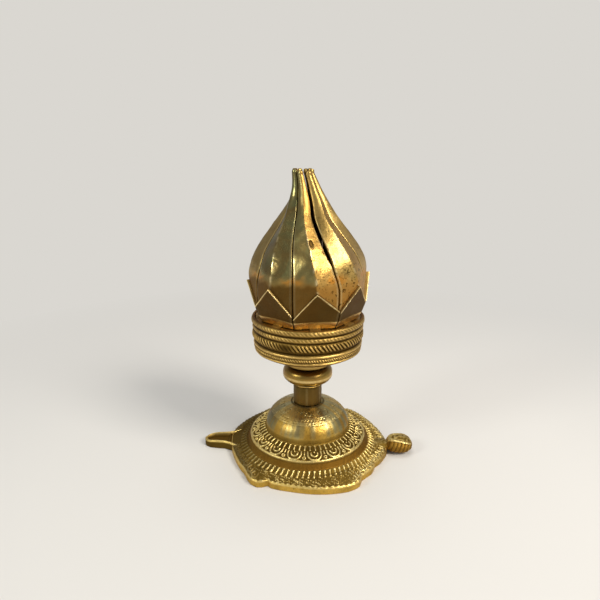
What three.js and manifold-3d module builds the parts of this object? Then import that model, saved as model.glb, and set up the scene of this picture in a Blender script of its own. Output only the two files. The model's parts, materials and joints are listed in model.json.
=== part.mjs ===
// Brass lotus diya: a twist of the bud on its base opens eight petals and lifts the oil cup.
// Millimetres, +Z up, the turning axis on Z, the base standing on z = 0, the lugs along X.
// Angles around the axis are in degrees, counted from -Y towards +X.
import * as THREE from 'three';
import { mergeVertices } from 'three/addons/utils/BufferGeometryUtils.js';
import Module from 'manifold-3d';

const wasm = await Module();
wasm.setup();

// Clearances
const GAP = 0.3;
const RUN = 0.35;

// Base casting
const SEAT_Z = 28.8;
const SEAT_R = 8.6;
const DOME = { foot: 15.0, r: 22.7, height: 14.4, power: 2.3 };
const TIERS = [[23.0, 14.8], [25.3, 13.7], [30.5, 11.1], [31.2, 10.8],
  [31.4, 9.6], [33.4, 7.3], [35.4, 5.8]];
const PLATE_TOP = 3.5;
const PLATE_EDGE = 0.6;
const REST_R = 29.5;
const CAVITY = [[28.5, 1.0], [28.5, 6.0], [20.3, 11.8], [19.3, 16.0], [12.5, 24.0]];
const CAVITY_TOP = 24.0;
// The lobed outline, once round: angle, radius
const OUTLINE = [[0, 41.6], [6, 42.1], [12, 42.7], [18, 43.3], [24, 44.0], [30, 44.7], [35, 44.7],
  [39, 44.2], [42, 42.8], [44.5, 41.6], [50, 41.5], [55, 41.8], [60, 41.3], [63.5, 40.6], [66, 41.1],
  [70, 42.0], [76, 42.9], [82, 44.0], [87, 44.5], [94, 44.5], [100, 44.2], [108, 43.8], [118, 43.7],
  [126, 44.1], [134, 44.9], [141, 45.8], [147, 46.2], [151, 45.6], [154, 43.6], [157, 42.6], [163, 42.6],
  [170, 42.3], [178, 41.9], [186, 42.0], [194, 42.2], [201, 42.6], [204.5, 43.6], [208, 45.6],
  [211, 46.1], [215, 45.0], [220, 44.0], [228, 43.6], [238, 43.6], [248, 43.9], [256, 44.2], [263, 43.8],
  [270, 43.0], [278, 42.3], [286, 41.6], [293, 41.3], [300, 41.3], [306, 41.6], [311, 41.7], [315, 42.4],
  [319, 43.6], [324, 44.8], [329, 44.8], [332, 43.3], [334.5, 40.9], [338, 41.8], [345, 41.4], [352, 41.2]];

// Lugs on the base
const SPOUT = { tip: 58.0, top: 4.6, floor: 2.2, wall: 1.3 };
// Distance from the axis and half width
const SPOUT_HALF = [[36.5, 10.5], [39.5, 8.6], [42.5, 6.6], [46.0, 5.4], [51.0, 5.0],
  [54.0, 4.6], [56.2, 3.5], [57.5, 2.0], [58.0, 0.7]];
const BUD_LUG = { from: 44.4, to: 58.0, halfWidth: 7.6, halfHeight: 4.4, z: 4.5 };
const BUD_NECK = { from: 32.5, to: 53.0, halfWidth: 5.2, halfHeight: 2.8 };

// Spindle and its fixings
const SPINDLE_R = 5.0;
const SHOULDER_R = 5.6;
const SPINDLE_BOTTOM = 15.0;
const SPINDLE_TOP = 83.5;
const BORE_R = SPINDLE_R + GAP;
const BASE_WASHER = { r: 9.0, thick: 1.1 };
const BASE_NUT = { flats: 16, thick: 4.8 };
const RETAINING_WASHER = { r: 9.0, thick: 1.2 };
const RETAINING_NUT = { flats: 14, thick: 2.8 };

// Stem: plain sleeve, ball knop, stepped ring and the spigot that carries the collar
const SLEEVE = { r: 7.65, from: SEAT_Z + GAP, to: 40.6 };
const KNOP = { r: 13.3, z: 45.4, half: 5.7, power: 2.1 };
const STEP_RING = { r: 11.8, from: 51.4, to: 53.6 };
const SPIGOT = { r: 8.6, to: 63.4 };
const STEM_BORE = SHOULDER_R + RUN;

// Collar cup: radius and height of each bead row, and the inner steps
const COLLAR_FLOOR = 60.0;
const COLLAR_RIM = 78.3;
const COLLAR_BORE = 27.6;
const COLLAR_COVE = 2.2;
const COLLAR_UNDERSIDE = [[12.4, STEP_RING.to + GAP], [15.0, 54.7], [21.0, 57.1], [25.4, 59.2], [26.6, 60.2]];
const LEDGE = { r: 25.2, z: 70.1 };
const COLLAR_ROWS = [
  { z: 61.8, r: 27.7, half: 1.35, valley: 27.0 },
  { z: 64.7, r: 28.1, half: 1.35, valley: 27.5 },
  { z: 69.2, r: 28.6, half: 2.7, valley: 28.2 },
  { z: 74.0, r: 28.9, half: 1.5, valley: 28.4 },
  { z: 76.9, r: 29.2, half: 1.3, valley: 28.6 },
];
const LOCK_NUT = { flats: 22, thick: 2.9 };

// Petal ring and hinges
const PETALS = 8;
const BUD_PHASE = 11;
const PITCH = 360 / PETALS;
const HINGE = { r: 26.1, z: 76.9 };
const RING = { inner: 22.0, outer: COLLAR_BORE - GAP, bottom: LEDGE.z + GAP, top: 77.9 };
const SLOT_FLOOR = 71.7;
const LUG_HALF = 2.7;
const PIN = { r: 0.6, hole: 0.72, half: 4.2 };
const EYE_R = 1.2;
const TAIL = { length: 7.6, drop: 40, half: 0.75, tipR: 1.15 };
const TAIL_TIP = {
  r: HINGE.r - TAIL.length * Math.cos(rad(TAIL.drop)),
  z: HINGE.z - TAIL.length * Math.sin(rad(TAIL.drop)),
};

// Petal surface: height, keel radius, seam radius and inner radius
const FOOT_Z = 78.4;
const BAND_Z = 81.9;
const FOOT_D = 24.3;
const BAND_D = 26.2;
const FACET_SLOPE = 0.329;
const STEP_RISE = 0.5;
const BODY = [[FOOT_Z, 28.0, 27.6, 21.8], [BAND_Z, 28.3, 27.9, 23.0],
  [87.3, 28.9, 28.6, 24.4], [92.0, 29.4, 29.0, 25.5], [97.0, 29.9, 28.9, 26.4], [100.6, 30.2, 28.6, 26.5],
  [104.7, 29.7, 27.9, 26.1], [109.0, 28.5, 26.4, 24.7], [113.2, 26.3, 24.3, 22.5], [117.3, 23.5, 21.3, 19.6],
  [121.5, 20.4, 18.0, 16.3], [125.7, 17.3, 14.9, 13.1], [129.8, 14.2, 12.2, 10.2], [133.9, 11.6, 9.9, 7.9],
  [138.0, 9.4, 8.0, 6.0], [142.0, 7.7, 6.5, 4.7], [145.9, 6.6, 5.7, 3.9], [150.9, 5.5, 4.8, 3.1],
  [151.7, 4.8, 4.3, 3.4]];
// How flat the two halves of a petal are, from 0 (round) to 1
const FLATNESS = 0.6;
// Height of the leaf chevron on each petal: peak, left end, right end
const CHEVRONS = [[96.5, 83.6, 87.2], [97.6, 86.4, 86.8], [99.8, 87.0, 86.6], [97.0, 86.2, 87.0],
  [96.8, 86.8, 86.2], [97.4, 86.4, 86.8], [97.2, 86.6, 86.0], [97.3, 86.8, 85.2]];
// The chevron's slant fades out up to this height
const CHEVRON_TOP = 117.3;
const SEAM_HALF = 0.2;
// The seam between the first two petals stands open above the belly, mostly on the first one's side
const OPEN_SEAM = { first: 1.15, second: 0.35, from: 107, full: 113.5 };
// Towards the tips all petals bend round the axis, in degrees, and over to the left, in millimetres
const TWIST = { angle: -25.5, from: 95, full: 139 };
const LEAN = { shift: -3.4, from: 130, full: 151.7 };
// The petals in front are a little narrower than those at the back, between these heights
const UNEVEN = { angle: 5.5, from: 96, full: 108, until: 128, gone: 140 };
const ACROSS = 6;

// Lifter: threaded nut with a flange, plate, cup and wick holder
const GROOVE = TAIL.tipR + RUN;
const FLANGE = { r: 20.5, thick: 2.0, top: TAIL_TIP.z - GROOVE };
const PLATE = { thick: 1.5, bottom: TAIL_TIP.z + GROOVE };
const NUT_BOSS_R = 15.5;
const HUB = { r: 8.2, top: 88.6, boreTop: 84.2, stud: 2.4, studDepth: 3.0 };
const CUP = { tube: 1.3, wall: 1.3, floorR: 16.6, straight: 81.4, rimR: 20.6, rimZ: 92.0 };
// The cup's flare as shares of its reach outwards and upwards
const CUP_FLARE = [[0, 0], [0.3, 0.3], [0.7, 0.68], [1, 0.94]];
const HOLDER = { flangeR: 10.0, thick: 1.3, stud: 2.1, tubeR: 3.0, tubeTop: 101.0, boreR: 1.6 };
const WICK = { r: 1.3, bottom: 92.2, top: 106.5 };
const POST = { r: 1.25, ring: 18.4, bottom: COLLAR_FLOOR - 2.0, top: CUP.straight - 0.8 };
const POST_ANGLES = [BUD_PHASE + 67.5, BUD_PHASE + 247.5];

// Colours
const BRASS = { color: '#a8832f', roughness: 0.36, metalness: 1 };
const CAST_BRASS = { color: '#b08d3a', roughness: 0.5, metalness: 1 };
const TURNED_BRASS = { color: '#8f7336', roughness: 0.28, metalness: 1 };
const STEEL = { color: '#8b8b88', roughness: 0.42, metalness: 1 };
const COTTON = { color: '#e6dfcd', roughness: 0.95, metalness: 0 };

const diya = new THREE.Group();

function rad(degrees) {
  return degrees * Math.PI / 180;
}

// Point at a radius and an angle from -Y towards +X, plus a sideways offset
function polar(r, degrees, side = 0) {
  const a = rad(degrees);
  return [r * Math.sin(a) + side * Math.cos(a), -r * Math.cos(a) + side * Math.sin(a)];
}

function addPart(name, geometry, look) {
  const mesh = new THREE.Mesh(geometry, new THREE.MeshStandardMaterial(look));
  mesh.name = name;
  diya.add(mesh);
}

function signedVolume(geometry) {
  const p = geometry.attributes.position;
  const index = geometry.index.array;
  let sum = 0;
  const corner = [new THREE.Vector3(), new THREE.Vector3(), new THREE.Vector3()];
  for (let i = 0; i < index.length; i += 3) {
    corner.forEach((v, k) => v.fromBufferAttribute(p, index[i + k]));
    sum += corner[0].dot(corner[1].clone().cross(corner[2]));
  }
  return sum / 6;
}

// Merges shared corners and turns every face outwards
function closed(geometry) {
  geometry.deleteAttribute('normal');
  geometry.deleteAttribute('uv');
  const merged = mergeVertices(geometry, 1e-4);
  if (signedVolume(merged) < 0) {
    merged.index.array.reverse();
  }
  merged.computeVertexNormals();
  return merged;
}

function toSolid(geometry) {
  const g = closed(geometry);
  const mesh = new wasm.Mesh({
    numProp: 3,
    vertProperties: Float32Array.from(g.attributes.position.array),
    triVerts: Uint32Array.from(g.index.array),
  });
  return new wasm.Manifold(mesh);
}

function fromSolid(solid) {
  const mesh = solid.getMesh();
  const g = new THREE.BufferGeometry();
  g.setAttribute('position', new THREE.BufferAttribute(Float32Array.from(mesh.vertProperties), 3));
  g.setIndex(new THREE.BufferAttribute(Uint32Array.from(mesh.triVerts), 1));
  g.computeVertexNormals();
  return g;
}

// Solid of revolution about Z from a list of [radius, height]
function revolve(profile, segments = 40, close = true) {
  const points = profile.map(([r, z]) => new THREE.Vector2(r, z));
  if (close) {
    points.push(points[0].clone());
  }
  const g = new THREE.LatheGeometry(points, segments);
  g.rotateX(Math.PI / 2);
  return closed(g);
}

// Upright rod, its foot at [x, y] and height z
function rod(r, z0, z1, segments = 24, [x, y] = [0, 0]) {
  const g = new THREE.CylinderGeometry(r, r, z1 - z0, segments);
  g.rotateX(Math.PI / 2);
  g.translate(x, y, (z0 + z1) / 2);
  return closed(g);
}

function extrude(shape, z0, z1) {
  const g = new THREE.ExtrudeGeometry(shape, { depth: z1 - z0, bevelEnabled: false, curveSegments: 16 });
  g.translate(0, 0, z0);
  return closed(g);
}

function circlePath(r, segments = 40, [x, y] = [0, 0]) {
  const points = [];
  for (let i = 0; i < segments; i += 1) {
    const a = 2 * Math.PI * i / segments;
    points.push(new THREE.Vector2(x + r * Math.cos(a), y + r * Math.sin(a)));
  }
  return points;
}

function disc(r, boreR, z0, z1, holes = []) {
  const shape = new THREE.Shape(circlePath(r, 40));
  shape.holes.push(new THREE.Path(circlePath(boreR, 20)));
  holes.forEach((hole) => shape.holes.push(new THREE.Path(hole)));
  return extrude(shape, z0, z1);
}

function hexNut(flats, boreR, z0, z1) {
  const shape = new THREE.Shape(circlePath(flats / 2 / Math.cos(Math.PI / 6), 6));
  shape.holes.push(new THREE.Path(circlePath(boreR, 20)));
  return extrude(shape, z0, z1);
}

// Straight-line reading of a table whose rows start with the height
function readTable(table, z, column) {
  const last = table.length - 1;
  const i = Math.min(Math.max(table.findIndex((row) => row[0] > z), 1), last) - 1;
  const row = z >= table[last][0] ? last - 1 : i;
  const [a, b] = [table[row], table[row + 1]];
  const t = THREE.MathUtils.clamp((z - a[0]) / (b[0] - a[0]), 0, 1);
  return THREE.MathUtils.lerp(a[column], b[column], t);
}

// Closed surface from rings of points, wrapped both ways
function wrapRings(rings) {
  const count = rings[0].length;
  const positions = rings.flat(2);
  const index = [];
  rings.forEach((_, i) => {
    const next = (i + 1) % rings.length;
    for (let k = 0; k < count; k += 1) {
      const l = (k + 1) % count;
      index.push(i * count + k, next * count + k, next * count + l);
      index.push(i * count + k, next * count + l, i * count + l);
    }
  });
  const g = new THREE.BufferGeometry();
  g.setAttribute('position', new THREE.Float32BufferAttribute(positions, 3));
  g.setIndex(index);
  return closed(g);
}

function superArc({ r, height, foot, power }, stopR, steps) {
  const points = [];
  const end = Math.acos(Math.pow(stopR / r, power / 2));
  for (let i = steps; i >= 0; i -= 1) {
    const a = end * i / steps;
    points.push([r * Math.pow(Math.cos(a), 2 / power), foot + height * Math.pow(Math.sin(a), 2 / power)]);
  }
  return points;
}

function baseBody() {
  const fixed = ([r, z]) => OUTLINE.map(([a]) => [...polar(r, a), z]);
  const edge = (inset, z) => OUTLINE.map(([a, r]) => [...polar(r - inset, a), z]);
  const crown = superArc(DOME, SEAT_R, 6).slice(1);
  const rings = [[BORE_R, SEAT_Z], [SEAT_R, SEAT_Z], ...crown, ...TIERS].map(fixed);
  rings.push(edge(PLATE_EDGE, PLATE_TOP), edge(0, PLATE_TOP - PLATE_EDGE), edge(0, 0));
  [[REST_R, 0], ...CAVITY, [BORE_R, CAVITY_TOP]].forEach((p) => rings.push(fixed(p)));
  return toSolid(wrapRings(rings));
}

function spoutShape(inset) {
  const half = SPOUT_HALF.map(([x, w]) => [x, w - inset]).filter(([, w]) => w > 0.3);
  const near = half.map(([x, w]) => [-Math.min(x, SPOUT.tip - inset), -w]);
  const far = near.map(([x, y]) => [x, -y]).reverse();
  return new THREE.Shape(near.concat(far).map(([x, y]) => new THREE.Vector2(x, y)));
}

// Tapering open spout on the left of the base
function spoutLug() {
  const outer = toSolid(extrude(spoutShape(0), 0, SPOUT.top));
  const channel = toSolid(extrude(spoutShape(SPOUT.wall), SPOUT.floor, SPOUT.top + 1));
  return outer.subtract(channel);
}

// Flattened bud on a short neck on the right of the base
function budLug() {
  const bud = new THREE.SphereGeometry(1, 16, 10);
  bud.scale((BUD_LUG.to - BUD_LUG.from) / 2, BUD_LUG.halfWidth, BUD_LUG.halfHeight);
  bud.translate((BUD_LUG.from + BUD_LUG.to) / 2, 0, BUD_LUG.z);
  const neck = new THREE.CylinderGeometry(1, 1, BUD_NECK.to - BUD_NECK.from, 12);
  neck.rotateZ(Math.PI / 2);
  neck.scale(1, BUD_NECK.halfWidth, BUD_NECK.halfHeight);
  neck.translate((BUD_NECK.from + BUD_NECK.to) / 2, 0, BUD_NECK.halfHeight);
  return toSolid(bud).add(toSolid(neck));
}

function baseCasting() {
  const column = toSolid(rod(BORE_R, SPINDLE_BOTTOM, SEAT_Z + 1, 72));
  return fromSolid(baseBody().add(spoutLug()).add(budLug()).subtract(column));
}

function spindle() {
  return revolve([[0, SPINDLE_BOTTOM], [SPINDLE_R, SPINDLE_BOTTOM], [SPINDLE_R, SEAT_Z + GAP],
    [SHOULDER_R, SEAT_Z + GAP], [SHOULDER_R, SPIGOT.to], [SPINDLE_R, SPIGOT.to],
    [SPINDLE_R, SPINDLE_TOP - 1], [SPINDLE_R - 1, SPINDLE_TOP], [0, SPINDLE_TOP]], 28, false);
}

function stem() {
  const ball = [];
  for (let i = 0; i <= 10; i += 1) {
    const z = THREE.MathUtils.lerp(SLEEVE.to, STEP_RING.from, i / 10);
    const t = Math.min(Math.abs((z - KNOP.z) / KNOP.half), 0.999);
    const r = KNOP.r * Math.pow(1 - Math.pow(t, KNOP.power), 1 / KNOP.power);
    ball.push([Math.max(r, z < KNOP.z ? SLEEVE.r : SPIGOT.r), z]);
  }
  return revolve([[STEM_BORE, SLEEVE.from], [SLEEVE.r, SLEEVE.from], ...ball,
    [STEP_RING.r, STEP_RING.from], [STEP_RING.r, STEP_RING.to], [SPIGOT.r, STEP_RING.to],
    [SPIGOT.r, SPIGOT.to], [STEM_BORE, SPIGOT.to]]);
}

function collarCup() {
  const outer = [[SPIGOT.r + GAP, STEP_RING.to + GAP], ...COLLAR_UNDERSIDE];
  COLLAR_ROWS.forEach(({ z, r, half, valley }) => {
    outer.push([r, z - half * 0.55], [r, z + half * 0.55], [valley, z + half]);
  });
  outer.push([COLLAR_BORE, COLLAR_RIM], [COLLAR_BORE, LEDGE.z], [LEDGE.r, LEDGE.z],
    [LEDGE.r, COLLAR_FLOOR + COLLAR_COVE], [LEDGE.r - COLLAR_COVE, COLLAR_FLOOR],
    [SPIGOT.r + GAP, COLLAR_FLOOR]);
  let cup = toSolid(revolve(outer, 48));
  POST_ANGLES.forEach((a) => {
    const hole = rod(POST.r + GAP, POST.bottom - GAP, COLLAR_FLOOR + 1, 16, polar(POST.ring, a));
    cup = cup.subtract(toSolid(hole));
  });
  return fromSolid(cup);
}

// Turns a solid built in front of the axis (at -Y) to a petal's place
function turned(solid, degrees) {
  return solid.rotate([0, 0, degrees]);
}

function petalAngle(i) {
  return BUD_PHASE + i * PITCH;
}

// Pin that lies across the petal's foot
function crossRod(r, half, segments) {
  const g = new THREE.CylinderGeometry(r, r, 2 * half, segments);
  g.rotateZ(Math.PI / 2);
  g.translate(0, -HINGE.r, HINGE.z);
  return closed(g);
}

function petalRing() {
  const { inner, outer, bottom, top } = RING;
  let ring = toSolid(revolve([[inner, bottom], [outer, bottom], [outer, top], [inner, top]], 48));
  const slot = new THREE.BoxGeometry(2 * (LUG_HALF + GAP), outer - inner + 4, top - SLOT_FLOOR + 2);
  slot.translate(0, -(outer + inner) / 2, (top + SLOT_FLOOR) / 2 + 1);
  const cut = toSolid(slot).add(toSolid(crossRod(PIN.hole, PIN.half + GAP, 12)));
  for (let i = 0; i < PETALS; i += 1) {
    ring = ring.subtract(turned(cut, petalAngle(i)));
  }
  return fromSolid(ring);
}

// Lines that run up the petal: the V of the chevron fades out towards the tip
function petalRows([peak, left, right]) {
  const rows = [{ keel: FOOT_Z, left: FOOT_Z, right: FOOT_Z, flat: FOOT_D },
    { keel: BAND_Z, left: BAND_Z, right: BAND_Z, flat: BAND_D },
    { keel: peak, left, right, facet: true },
    { keel: peak + STEP_RISE, left: left + STEP_RISE, right: right + STEP_RISE }];
  BODY.filter(([z]) => z > peak + 2).forEach(([z]) => {
    const fade = Math.pow(THREE.MathUtils.clamp((CHEVRON_TOP - z) / (CHEVRON_TOP - peak), 0, 1), 1.5);
    rows.push({ keel: z, left: z - fade * (peak - left), right: z - fade * (peak - right) });
  });
  return rows;
}

// Two almost flat halves that meet in a soft keel
function bodyRadius(keel, seam, u) {
  const half = rad(PITCH / 2);
  const turn = Math.abs(u) * half;
  const flat = keel * seam * Math.sin(half) / (keel * Math.sin(turn) + seam * Math.sin(half - turn));
  const arched = THREE.MathUtils.lerp(keel, seam, Math.pow(Math.abs(u), 1.15));
  return THREE.MathUtils.lerp(arched, flat, FLATNESS);
}

function outerRadius(row, z, u, angle) {
  const flat = row.facet ? BAND_D + (z - BAND_Z) * FACET_SLOPE : row.flat;
  if (flat) {
    return flat / Math.cos(angle);
  }
  return bodyRadius(readTable(BODY, z, 1), readTable(BODY, z, 2), u);
}

function twist(z) {
  const t = THREE.MathUtils.clamp((z - TWIST.from) / (TWIST.full - TWIST.from), 0, 1);
  return TWIST.angle * t * t;
}

function lean(z) {
  const t = THREE.MathUtils.clamp((z - LEAN.from) / (LEAN.full - LEAN.from), 0, 1);
  return LEAN.shift * t * t;
}

// Direction of the seam before or after a petal
function seamAngle(i, side, z) {
  const even = petalAngle(i + side / 2);
  const rise = THREE.MathUtils.smoothstep(z, UNEVEN.from, UNEVEN.full);
  const fall = 1 - THREE.MathUtils.smoothstep(z, UNEVEN.until, UNEVEN.gone);
  return even + twist(z) - UNEVEN.angle * rise * fall * Math.sin(rad(even));
}

function seamClearance(i, side, z) {
  const t = THREE.MathUtils.smoothstep(z, OPEN_SEAM.from, OPEN_SEAM.full);
  if (i === 0 && side > 0) {
    return SEAM_HALF + OPEN_SEAM.first * t;
  }
  if (i === 1 && side < 0) {
    return SEAM_HALF + OPEN_SEAM.second * t;
  }
  return SEAM_HALF;
}

// Edge of a petal, kept clear of the seam by the same width at every radius
function edgeAngle(i, side, r, z) {
  const clearance = THREE.MathUtils.radToDeg(Math.asin(Math.min(seamClearance(i, side, z) / r, 0.9)));
  return seamAngle(i, side, z) - side * clearance;
}

function petalPoint(row, u, i, inside) {
  const side = u < 0 ? -1 : 1;
  const z = THREE.MathUtils.lerp(row.keel, u < 0 ? row.left : row.right, Math.abs(u));
  const r = inside ? readTable(BODY, z, 3) : outerRadius(row, z, u, rad(u * PITCH / 2));
  const middle = (seamAngle(i, -1, z) + seamAngle(i, 1, z)) / 2;
  const [x, y] = polar(r, THREE.MathUtils.lerp(middle, edgeAngle(i, side, r, z), Math.abs(u)));
  return [x + lean(z), y, z];
}

// Blade as a bent slab: each row of points goes out along the face and back along the inside
function petalBlade(i) {
  const rows = petalRows(CHEVRONS[i]);
  const us = Array.from({ length: ACROSS + 1 }, (_, k) => 2 * k / ACROSS - 1);
  const rings = rows.map((row) => us.map((u) => petalPoint(row, u, i, false))
    .concat(us.slice().reverse().map((u) => petalPoint(row, u, i, true))));
  const count = rings[0].length;
  const index = [];
  for (let j = 0; j < rings.length - 1; j += 1) {
    for (let k = 0; k < count; k += 1) {
      const l = (k + 1) % count;
      index.push(j * count + k, j * count + l, (j + 1) * count + l);
      index.push(j * count + k, (j + 1) * count + l, (j + 1) * count + k);
    }
  }
  [0, rings.length - 1].forEach((j) => {
    for (let k = 0; k < ACROSS; k += 1) {
      const [a, b, c, d] = [k, k + 1, count - 2 - k, count - 1 - k].map((n) => j * count + n);
      index.push(...(j === 0 ? [a, c, b, a, d, c] : [a, b, c, a, c, d]));
    }
  });
  const g = new THREE.BufferGeometry();
  g.setAttribute('position', new THREE.Float32BufferAttribute(rings.flat(2), 3));
  g.setIndex(index);
  return toSolid(g);
}

function arcPoints([cx, cy], r, from, to, steps) {
  const points = [];
  for (let i = 0; i <= steps; i += 1) {
    const a = rad(THREE.MathUtils.lerp(from, to, i / steps));
    points.push([cx + r * Math.cos(a), cy + r * Math.sin(a)]);
  }
  return points;
}

// Side view of the hinge lug as [distance from the axis, height]: eye, web and tail
function lugOutline() {
  const { half, drop, tipR } = TAIL;
  const cos = Math.cos(rad(drop));
  const tan = Math.tan(rad(drop));
  const tip = [TAIL_TIP.r, TAIL_TIP.z];
  const side = (r, sign) => TAIL_TIP.z + (r - TAIL_TIP.r) * tan + sign * half / cos;
  const webR = FOOT_D - 2.0;
  return [[webR, FOOT_Z + 1], [FOOT_D - 0.2, FOOT_Z + 1], [FOOT_D - 0.1, FOOT_Z],
    [FOOT_D + 0.6, FOOT_Z - GAP],
    ...arcPoints([HINGE.r, HINGE.z], EYE_R, 90, -50 - (90 - drop) / 2, 8),
    [HINGE.r - 1.5, side(HINGE.r - 1.5, -1)],
    ...arcPoints(tip, tipR, drop - 45, drop - 315, 12), [webR, side(webR, 1)]];
}

function petal(i) {
  const shape = new THREE.Shape(lugOutline().map(([d, z]) => new THREE.Vector2(-d, z)));
  const lug = new THREE.ExtrudeGeometry(shape, { depth: 2 * LUG_HALF, bevelEnabled: false });
  lug.translate(0, 0, -LUG_HALF);
  lug.rotateX(Math.PI / 2);
  lug.rotateZ(Math.PI / 2);
  const eyeHole = toSolid(crossRod(PIN.hole, LUG_HALF + 1, 12));
  return fromSolid(petalBlade(i).add(turned(toSolid(lug).subtract(eyeHole), petalAngle(i))));
}

function liftNut() {
  const nut = revolve([[BORE_R + 0.05, FLANGE.top - FLANGE.thick], [FLANGE.r, FLANGE.top - FLANGE.thick],
    [FLANGE.r, FLANGE.top], [NUT_BOSS_R, FLANGE.top], [NUT_BOSS_R, PLATE.bottom - GAP],
    [HUB.r, PLATE.bottom - GAP], [HUB.r, HUB.top], [HUB.stud, HUB.top], [HUB.stud, HUB.top - HUB.studDepth],
    [0, HUB.top - HUB.studDepth], [0, HUB.boreTop], [BORE_R + 0.05, HUB.boreTop],
    [BORE_R + 0.05, FLANGE.top - FLANGE.thick]], 40, false);
  let solid = toSolid(nut);
  POST_ANGLES.forEach((a) => {
    const hole = rod(POST.r + RUN, FLANGE.top - 5, FLANGE.top + 1, 16, polar(POST.ring, a));
    solid = solid.subtract(toSolid(hole));
  });
  return fromSolid(solid);
}

function liftPlate() {
  const holes = POST_ANGLES.map((a) => circlePath(POST.r + RUN, 16, polar(POST.ring, a)));
  return disc(FLANGE.r, HUB.r + GAP, PLATE.bottom, PLATE.bottom + PLATE.thick, holes);
}

function oilCup() {
  const bottom = PLATE.bottom + PLATE.thick + GAP;
  const inner = HUB.r + GAP;
  const { tube, wall, floorR, straight, rimR, rimZ } = CUP;
  const flare = ([out, up]) => [floorR + out * (rimR - floorR), straight + up * (rimZ - straight)];
  const outside = CUP_FLARE.map(flare);
  const inside = outside.map(([r, z]) => [r - wall, z + wall * 0.15]).reverse();
  return revolve([[inner, bottom], [floorR - 1, bottom], [floorR, bottom + 1], ...outside,
    [rimR - wall * 0.5, rimZ], ...inside, [floorR - wall, bottom + wall * 1.5],
    [floorR - wall * 1.5, bottom + wall], [inner + tube, bottom + wall],
    [inner + tube, HUB.top - GAP], [inner, HUB.top - GAP]], 40);
}

function wickHolder() {
  const { flangeR, thick, stud, tubeR, tubeTop, boreR } = HOLDER;
  const z = HUB.top + GAP;
  return revolve([[0, z - HUB.studDepth + GAP], [stud, z - HUB.studDepth + GAP], [stud, z], [flangeR, z],
    [flangeR, z + thick * 0.6], [flangeR - 1.4, z + thick], [tubeR + 1, z + thick], [tubeR, z + thick + 1],
    [tubeR, tubeTop], [boreR, tubeTop], [boreR, WICK.bottom - GAP], [0, WICK.bottom - GAP]], 24, false);
}

function wick() {
  return revolve([[0, WICK.bottom], [WICK.r, WICK.bottom], [WICK.r, WICK.top - 2.5],
    [WICK.r * 0.7, WICK.top - 0.8], [0, WICK.top]], 14, false);
}

const washerTop = CAVITY_TOP - GAP;
const nutTop = washerTop - BASE_WASHER.thick - GAP;
const retainer = SPIGOT.to + 0.4;
const retainingNut = retainer + RETAINING_WASHER.thick + GAP;

addPart('base_casting', baseCasting(), CAST_BRASS);
addPart('base_washer', disc(BASE_WASHER.r, BORE_R, washerTop - BASE_WASHER.thick, washerTop), STEEL);
addPart('base_nut', hexNut(BASE_NUT.flats, BORE_R, nutTop - BASE_NUT.thick, nutTop), STEEL);
addPart('spindle', spindle(), STEEL);
addPart('retaining_washer', disc(RETAINING_WASHER.r, BORE_R,
  retainer, retainer + RETAINING_WASHER.thick), STEEL);
addPart('retaining_nut', hexNut(RETAINING_NUT.flats, BORE_R,
  retainingNut, retainingNut + RETAINING_NUT.thick), STEEL);
addPart('stem', stem(), TURNED_BRASS);
addPart('collar_cup', collarCup(), BRASS);
addPart('collar_lock_nut', hexNut(LOCK_NUT.flats, SPIGOT.r + GAP, COLLAR_FLOOR + GAP,
  COLLAR_FLOOR + GAP + LOCK_NUT.thick), TURNED_BRASS);
addPart('petal_ring', petalRing(), TURNED_BRASS);
addPart('lift_nut', liftNut(), TURNED_BRASS);
addPart('lift_plate', liftPlate(), TURNED_BRASS);
addPart('oil_cup', oilCup(), BRASS);
addPart('wick_holder', wickHolder(), BRASS);
addPart('wick', wick(), COTTON);
POST_ANGLES.forEach((a, i) => {
  addPart(`guide_post_${i + 1}`, rod(POST.r, POST.bottom, POST.top, 16, polar(POST.ring, a)), STEEL);
});
for (let i = 0; i < PETALS; i += 1) {
  addPart(`petal_${i + 1}`, petal(i), BRASS);
  addPart(`hinge_pin_${i + 1}`, crossRod(PIN.r, PIN.half, 12).rotateZ(rad(petalAngle(i))), STEEL);
}

export default diya;
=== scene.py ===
"""Looks of the brass lotus diya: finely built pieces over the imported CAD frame.

Sizes are in millimetres and are turned into metres when a mesh is made.
Angles around the axis are in degrees, counted from -Y towards +X.
"""

import functools
import json
import math

import bpy
import numpy as np
from mathutils import Euler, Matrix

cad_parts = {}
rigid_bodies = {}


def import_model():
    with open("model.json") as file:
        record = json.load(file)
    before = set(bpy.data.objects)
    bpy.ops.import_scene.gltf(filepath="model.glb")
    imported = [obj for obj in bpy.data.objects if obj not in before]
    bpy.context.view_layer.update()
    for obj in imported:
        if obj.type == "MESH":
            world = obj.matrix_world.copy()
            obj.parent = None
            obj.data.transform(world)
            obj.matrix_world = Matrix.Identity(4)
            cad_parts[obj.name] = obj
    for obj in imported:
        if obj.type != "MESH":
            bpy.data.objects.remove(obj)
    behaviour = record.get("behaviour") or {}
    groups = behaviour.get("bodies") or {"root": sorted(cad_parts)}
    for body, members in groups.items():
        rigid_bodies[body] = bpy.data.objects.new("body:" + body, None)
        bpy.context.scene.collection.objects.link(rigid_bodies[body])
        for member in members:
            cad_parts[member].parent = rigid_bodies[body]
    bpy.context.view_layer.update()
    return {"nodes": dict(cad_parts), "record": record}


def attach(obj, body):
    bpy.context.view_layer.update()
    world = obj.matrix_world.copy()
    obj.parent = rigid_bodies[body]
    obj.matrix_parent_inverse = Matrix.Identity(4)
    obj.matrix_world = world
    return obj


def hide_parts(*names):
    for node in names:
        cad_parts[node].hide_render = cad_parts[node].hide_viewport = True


MM = 0.001

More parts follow.
